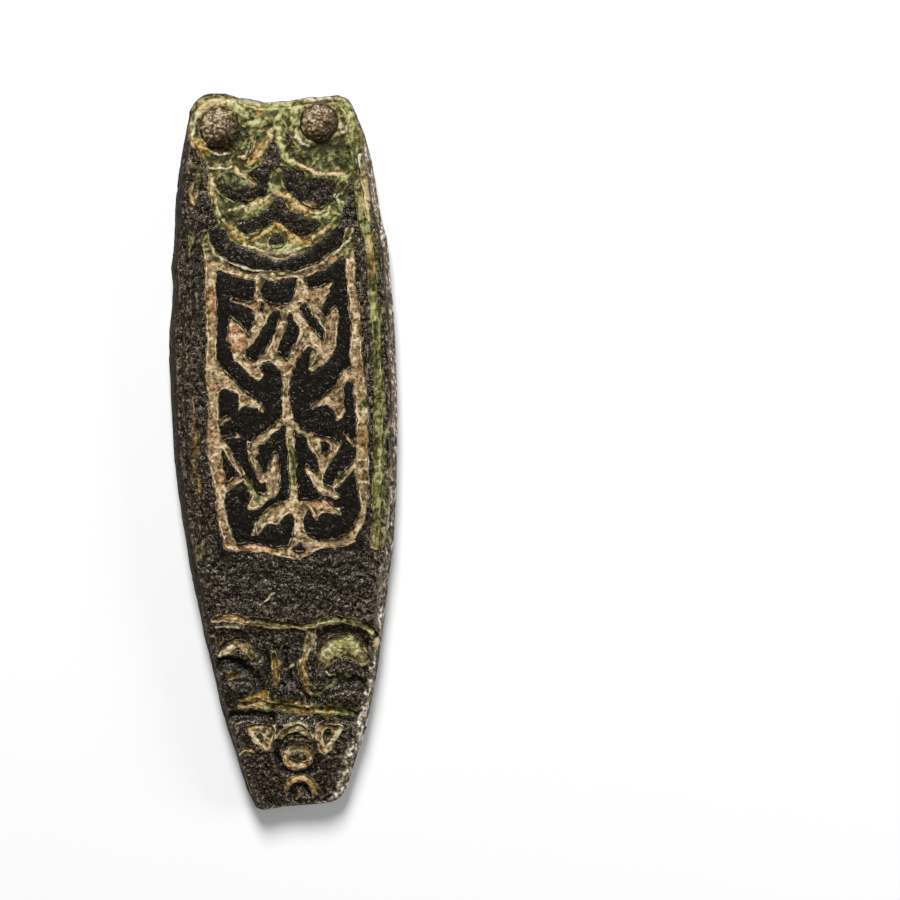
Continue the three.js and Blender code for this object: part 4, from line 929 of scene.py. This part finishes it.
# Tones from dark to light, one for each fifth of the range that the grain covers, as they look on a screen
finish = {
    "strand": [(9, 7, 5), (14, 11, 8), (20, 16, 12), (30, 24, 19), (60, 50, 41)],
    "border": [(10, 7, 4), (20, 15, 9), (35, 27, 19), (57, 45, 32), (126, 108, 84)],
    "flank": [(46, 35, 24), (88, 74, 57), (120, 105, 86), (148, 133, 112), (240, 230, 215)],
    "earth": [(58, 41, 21), (114, 91, 58), (160, 134, 95), (192, 167, 123), (232, 210, 172)],
    "rust": [(76, 43, 20), (138, 84, 46), (184, 122, 76), (208, 156, 110), (234, 204, 168)],
    "tan": [(60, 44, 22), (114, 88, 50), (154, 126, 78), (186, 158, 106), (222, 200, 154)],
    "khaki": [(35, 31, 8), (60, 55, 18), (87, 81, 35), (117, 110, 57), (166, 158, 104)],
    "green": [(19, 25, 6), (41, 49, 14), (71, 80, 33), (104, 112, 59), (156, 162, 108)],
    "pale": [(58, 56, 20), (98, 95, 43), (133, 131, 71), (167, 164, 102), (206, 203, 148)],
    "ochre": [(60, 36, 10), (112, 76, 24), (156, 116, 46), (188, 150, 78), (218, 191, 134)],
    "cream": [(74, 62, 36), (128, 112, 72), (164, 148, 104), (196, 182, 140), (230, 222, 192)],
    "fleck": [(84, 72, 56), (116, 103, 85), (144, 131, 112), (176, 164, 146), (216, 206, 192)],
    "rivet": [(20, 14, 6), (44, 33, 17), (74, 58, 35), (112, 92, 62), (190, 170, 138)],
}
warmShine = (1.0, 0.9, 0.76, 1)  # tint of the highlights on bare metal


# A screen tone as the amount of light that a material gives back
def asLight(tone):
    shares = [part / 255 for part in tone]
    return [share / 12.92 if share <= 0.04045 else ((share + 0.055) / 1.055) ** 2.4 for share in shares]


def addTone(tree, value, name):
    return addRamp(tree, value, [(0.1 + 0.2 * i, asLight(tone)) for i, tone in enumerate(finish[name])])


# A painted share whose border is broken up by a noise
def addSpread(tree, share, noise, low, high, amount):
    shifted = addBand(tree, noise, 0.3, 0.7, -0.5 * amount, 0.5 * amount)
    within = addBand(tree, share, 0.02, 0.12)
    return addTimes(tree, addBand(tree, addSum(tree, shifted, share), low, high), within)


# Noise that is drawn out along the piece where the surface is streaky
def addGrain(tree, size, streaky):
    plain = addEven(tree, addNoise(tree, size, 2, 0.55))
    drawn = addNoise(tree, size, 2, 0.55)
    place = addNode(tree, "ShaderNodeTexCoord", {}, "Object")
    stretched = addNode(tree, "ShaderNodeVectorMath", {0: place, 1: (1, 0.3, 1)}, operation="MULTIPLY")
    tree.links.new(stretched, drawn.node.inputs["Vector"])
    return addBlend(tree, streaky, plain, addEven(tree, drawn))


patinaLook = {
    "grain": {"dust": 0.16, "grit": 0.35, "lump": 0.85},  # sizes in mm
    "speckSize": 0.3,
    "crestLight": 0.6,  # how much lighter a crest of bare metal is
    "edgeShade": -0.14,
    "crackShade": -0.18,
    "crustLift": 0.03,
    "tintLift": 0.06,
    "crustShares": {"pale": 0.85, "ochre": 0.85, "tan": 0.9, "cream": 0.9},
    "metalGloss": (0.25, 0.24),  # roughness of the strands and the border
    "crustGloss": 0.55,
    "edgeGloss": 0.85,
    "specular": 0.42,
    "bumpHeight": 0.11,
    "bumpSize": 0.24,
}


# Bare metal: smooth black strands, a grainy brown border with pale specks that are partly dust and partly
# painted glints, and the scoured right edge, pale partly from wear and partly from painted light
def addMetal(tree, grain, painted, look):
    dust, grit, lump = grain
    crest, shade, pitted = painted["crest"], painted["shade"], painted["pitted"]
    body = addBlend(tree, 0.6, grit, dust)
    # Painted light on crests and painted shade in hollows, and painted shade on the steep sides of the
    # outline
    borderTone = addSum(tree, body, shade, addTimes(tree, crest, look["crestLight"]),
                        addTimes(tree, painted["edge"], look["edgeShade"]))
    strand = addTone(tree, addTimes(tree, body, 0.8), "strand")
    colour = addMix(tree, pitted, strand, addTone(tree, borderTone, "border"))
    specks = addNoise(tree, look["speckSize"], 2, 0.7, 0.4)
    coarse = addEven(tree, addBlend(tree, 0.45, grit, lump), 0.16, 0.84)
    # The scoured right edge: pale partly from wear and partly as painted light, its bright specks painted
    # glints
    flankTone = addSum(tree, coarse, addTimes(tree, crest, 0.7), shade,
                       addBand(tree, specks, 0.56, 0.68, -0.05, 0.32))
    colour = addMix(tree, painted["flank"], colour, addTone(tree, flankTone, "flank"))
    # Pale specks on rough metal: partly dust in pits, partly painted glints
    speckle = addTimes(tree, addBand(tree, specks, 0.62, 0.72), addBand(tree, pitted, 0.3, 1, 0, 0.4))
    return addMix(tree, speckle, colour, addTone(tree, addSum(tree, dust, crest), "fleck"))


# Crusts: the tone comes from the grain and from the relief, as painted light on crests and painted shade in
# hollows, lifted along the foot of each raised form
def addCrusts(tree, colour, grain, painted, look):
    dust, grit, lump = grain
    shade, pitted = painted["shade"], painted["pitted"]
    grains = addSum(tree, addTimes(tree, lump, 0.34), addTimes(tree, grit, 0.38), addTimes(tree, dust, 0.28))
    fromCrack = addMath(tree, "SUBTRACT", addNoise(tree, 1.1, 3, 0.6, 0.8), 0.5)
    cracks = addBand(tree, addMath(tree, "ABSOLUTE", fromCrack, 0), 0, 0.03, look["crackShade"], 0)
    relief = addTimes(tree, addMath(tree, "MAXIMUM", painted["crest"], -0.3), 0.7)
    tone = addSum(tree, grains, relief, shade, cracks, look["crustLift"],
                  addTimes(tree, painted["rim"], 0.2), addTimes(tree, painted["thread"], 0.5))
    hue = addBand(tree, addNoise(tree, 0.9, 2, 0.5), 0.35, 0.65)
    khaki = addTone(tree, tone, "khaki")
    olive = addMix(tree, hue, khaki, addTone(tree, tone, "green"))
    rusty = addBand(tree, addNoise(tree, 1.5, 2, 0.5), 0.55, 0.72, 0, 0.28)
    soil = addMix(tree, rusty, addTone(tree, tone, "earth"), addTone(tree, tone, "rust"))
    crust = addMix(tree, painted["khaki"], soil, khaki)
    crust = addMix(tree, addSpread(tree, painted["green"], addNoise(tree, 0.7), 0.2, 0.8, 0.9), crust, olive)
    filling = addSpread(tree, painted["deposit"], addNoise(tree, 0.4, 2, 0.6), 0.14, 0.5, 0.4)
    stain = addTimes(tree, addSpread(tree, painted["green"], addNoise(tree, 0.5), 0.4, 1.1, 1.2), 0.8)
    colour = addMix(tree, filling, addMix(tree, stain, colour, olive), crust)
    covered = addMath(tree, "MAXIMUM", filling, stain)
    lifted = addSum(tree, tone, addTimes(tree, shade, -0.5), look["tintLift"])
    for name, amount in look["crustShares"].items():
        spread = addSpread(tree, painted[name], addNoise(tree, 0.45, 2), 0.15, 0.75, 0.3)
        share = addTimes(tree, spread, amount)
        tint = addTone(tree, lifted, name)
        if name == "ochre":
            tint = addMix(tree, addBand(tree, pitted, 0.02, 0.14), addTone(tree, lifted, "rust"), tint)
        colour = addMix(tree, share, colour, tint)
        covered = addMath(tree, "MAXIMUM", covered, share)
    return colour, covered


# The names are those of the casting's painted values
def patinaMaterial(look, names):
    material, tree, shader = newMaterial("dark_patina")
    painted = {name: addAttribute(tree, name) for name in names}
    grain = [addGrain(tree, size, painted["streaky"]) for size in look["grain"].values()]
    colour, covered = addCrusts(tree, addMetal(tree, grain, painted, look), grain, painted, look)
    tree.links.new(colour, shader.inputs["Base Color"])

    pitted = painted["pitted"]
    gloss = addBlend(tree, covered, addBand(tree, pitted, 0.1, 1, *look["metalGloss"]), look["crustGloss"])
    gloss = addBlend(tree, painted["edge"], gloss, look["edgeGloss"])
    tree.links.new(gloss, shader.inputs["Roughness"])
    shader.inputs["Specular IOR Level"].default_value = look["specular"]
    shader.inputs["Specular Tint"].default_value = warmShine
    rough = addBand(tree, addMath(tree, "MAXIMUM", pitted, covered), 0, 1, 0, 0.9)
    knobs = addBand(tree, addNoise(tree, 0.3, 2, 0.6, 0.4), 0.52, 0.7)
    clusters = addBand(tree, addNoise(tree, 1.6, 2, 0.5), 0.4, 0.6, 0.25, 0.85)
    bumps = addTimes(tree, addNoise(tree, look["bumpSize"], 2, 0.5, 0.6), rough)
    bumps = addSum(tree, bumps, addTimes(tree, knobs, clusters))
    tree.links.new(addBump(tree, 1, look["bumpHeight"], bumps), shader.inputs["Normal"])
    return material


# The casting's flat map, in mm on a square: each part of the surface takes two of its axes
# and has its own place
mapSide = 64
mapPlaces = {
    "above": ((1, 0), (1, 1)),
    "below": ((1, 0), (1, 21.5)),
    "leftSide": ((1, 2), (1, 42)),
    "rightSide": ((1, 2), (1, 48)),
    "slotRoof": ((0, 1), (1, 3.7)),
    "slotFloor": ((0, 1), (22, 3.7)),
    "upperEnd": ((0, 2), (43, 54)),
    "tipEnd": ((0, 2), (43, 59.2)),
}
mapLimits = {
    "steep": 0.6,  # a face that looks up or down less than this counts as a side
    "outer": 0.75,  # how far inside the outline the sides reach
    "slot": (0.5, 2.8),  # heights of the split, with some room
    "slotEnd": 19.8,
    "middle": 1.6,  # height between above and below
}


def layFlatMap(mesh, limits):
    corners = np.empty(len(mesh.loops), np.int32)
    mesh.loops.foreach_get("vertex_index", corners)
    cornerCounts = np.empty(len(mesh.polygons), np.int32)
    mesh.polygons.foreach_get("loop_total", cornerCounts)
    middle = read(mesh.polygons, "center", 3) / millimetre
    facing = read(mesh.polygons, "normal", 3)
    place = (read(mesh.vertices, "co", 3) / millimetre - nodeBox("strap_end_casting")[0])[corners]
    height, (slotLow, slotHigh) = middle[:, 2], limits["slot"]
    steep = np.abs(facing[:, 2]) < limits["steep"]
    outer = steep & (atPoints(inside, middle) < limits["outer"])
    endwards = steep & (np.abs(facing[:, 1]) > np.abs(facing[:, 0]))
    inSlot = (height > slotLow) & (height < slotHigh) & (middle[:, 1] > limits["slotEnd"]) & ~outer
    kinds = np.select(
        [inSlot & endwards, inSlot & (facing[:, 2] < 0), inSlot, outer & endwards & (facing[:, 1] > 0),
         outer & endwards, outer & (facing[:, 0] < 0), outer, height > limits["middle"]],
        ["upperEnd", "slotRoof", "slotFloor", "upperEnd",
         "tipEnd", "leftSide", "rightSide", "above"], "below")
    kinds = np.repeat(kinds, cornerCounts)
    flat = np.zeros((len(corners), 2))
    for kind, (axes, offset) in mapPlaces.items():
        flat[kinds == kind] = (place[kinds == kind][:, axes] + offset) / mapSide
    layer = mesh.uv_layers.new(name="OFBake")
    layer.data.foreach_set("uv", np.clip(flat, 0, 1).astype(np.float32).ravel())


mesh, points, values = makeCasting(castingLook)
patina = patinaMaterial(patinaLook, values)
casting = finishPiece("casting", mesh, points, values, patina, "strap_end_casting")
layFlatMap(casting.data, mapLimits)
print("casting made")


# Rivets
rivetLook = {
    "voxel": 0.06,
    "softening": 2,
    "lumps": 0.2,
    "grain": 0.3,
    "crestRounds": 12,
    "crestRange": 0.08,
    "seeds": {"left": 51, "right": 71},
    "dust": 0.17,  # sizes of the grain in the finish
    "grit": 0.4,
    "gloss": (0.22, 0.3),
    "specular": 0.5,
    "bumpHeight": 0.12,
    "bumpSize": 0.24,
}


def rivetMaterial(look):
    material, tree, shader = newMaterial("rivet_patina")
    dust, grit = (addEven(tree, addNoise(tree, look[name], 2, 0.6)) for name in ("dust", "grit"))
    grains = addBand(tree, addBlend(tree, 0.35, grit, dust), 0, 1, 0.4, 0.77)
    paintedShade = addAttribute(tree, "paintedShade")
    # Painted glints: pale specks on the lit side of each head, fewer where the painted shade lies
    paintedGlints = addTimes(tree, addBand(tree, addNoise(tree, 0.26, 2, 0.5, 0.2), 0.56, 0.68),
                      addBand(tree, paintedShade, 0.1, 0.8, 0.4, 0.1))
    # Painted light on the crests of each head and painted shade in its hollows
    relief = addTimes(tree, addAttribute(tree, "crest"), 0.7)
    # The tone is painted lighter on the lit side of each head and darker on its shaded side
    tone = addSum(tree, grains, relief, paintedGlints, addBand(tree, paintedShade, 0, 1, 0.12, -0.36))
    tree.links.new(addTone(tree, tone, "rivet"), shader.inputs["Base Color"])
    tree.links.new(addBand(tree, grit, 0, 1, *look["gloss"]), shader.inputs["Roughness"])
    shader.inputs["Specular IOR Level"].default_value = look["specular"]
    shader.inputs["Specular Tint"].default_value = warmShine
    bumps = addNoise(tree, look["bumpSize"], 2, 0.5, 0.1)
    tree.links.new(addBump(tree, 0.9, look["bumpHeight"], bumps), shader.inputs["Normal"])
    return material


# Painted shade: each head is darkened on the side that faces the muzzle, away from the key lamp, and round
# its steep foot
shadedSide = np.array((0.6, -0.75, -0.2))


def makeRivet(nodeName, look, seed):
    mesh, points, normals = fineSkin(nodeName, look)
    lumps = look["lumps"] * (roughNoise(points, 0.9, seed, 2) - 0.7)
    grain = look["grain"] * (roughNoise(points, 0.36, seed + 10, 2) - 0.6)
    shaded = smoothStep(-0.8, 0.6, normals @ shadedSide)
    paintedShade = np.maximum(0.85 * shaded, smoothStep(0.85, 0.35, normals[:, 2]))
    points = points + normals * (lumps + grain)[:, None]
    return mesh, points, {"paintedShade": paintedShade, "crest": crestHeight(mesh, points, look)}


rivetPatina = rivetMaterial(rivetLook)
for side, seed in rivetLook["seeds"].items():
    rivet = side + "_rivet"
    mesh, points, values = makeRivet(rivet, rivetLook, seed)
    finishPiece(rivet + "_head", mesh, points, values, rivetPatina, rivet)
print("rivets made")


# Floor and light
studio = {
    "floorSize": 2.0,
    "floorColour": (0.88, 0.88, 0.88),
    "floorLift": 0.17,  # what the camera and reflections see above the floor's own light
    "key": {"place": (-30, 375, 465), "size": (180, 310), "power": 4.0},
    "fill": {"place": (340, -20, 170), "size": (200, 200), "power": 0.35},
    "world": 0.055,
}
white = (1, 1, 1, 1)


def makeFloor(setup):
    half = setup["floorSize"] / 2
    mesh = bpy.data.meshes.new("floor")
    corners = [(-half, -half, 0), (half, -half, 0), (half, half, 0), (-half, half, 0)]
    mesh.from_pydata(corners, [], [(0, 1, 2, 3)])
    floor = addObject("floor", mesh)
    material, tree, shader = newMaterial("pale_floor")
    shader.inputs["Base Color"].default_value = (*setup["floorColour"], 1)
    shader.inputs["Roughness"].default_value = 0.9
    shader.inputs["Specular IOR Level"].default_value = 0.1
    shader.inputs["Emission Color"].default_value = white
    paths = tree.nodes.new("ShaderNodeLightPath")
    mirrored = addMath(tree, "MAXIMUM", paths.outputs["Is Glossy Ray"], paths.outputs["Is Transmission Ray"])
    seen = addMath(tree, "MAXIMUM", paths.outputs["Is Camera Ray"], mirrored)
    tree.links.new(addTimes(tree, seen, setup["floorLift"]), shader.inputs["Emission Strength"])
    mesh.materials.append(material)
    floor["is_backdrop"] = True


def makeLamp(name, setup):
    data = bpy.data.lights.new(name, "AREA")
    data.shape = "ELLIPSE"
    data.size, data.size_y = (side * millimetre for side in setup["size"])
    data.energy = setup["power"]
    lamp = addObject(name, data)
    lamp.location = Vector(setup["place"]) * millimetre
    lamp.rotation_mode = "QUATERNION"
    lamp.rotation_quaternion = (-lamp.location).to_track_quat("-Z", "Y")


def makeStudio(setup):
    makeFloor(setup)
    for name in ("key", "fill"):
        makeLamp(name, setup[name])
    world = bpy.data.worlds.new("studio")
    world.use_nodes = True
    background = world.node_tree.nodes["Background"]
    background.inputs["Color"].default_value = white
    background.inputs["Strength"].default_value = setup["world"]
    bpy.context.scene.world = world


makeStudio(studio)
bpy.context.scene.view_settings.view_transform = "Standard"
print("studio made")

bpy.context.view_layer.update()
lowCorner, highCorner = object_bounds()
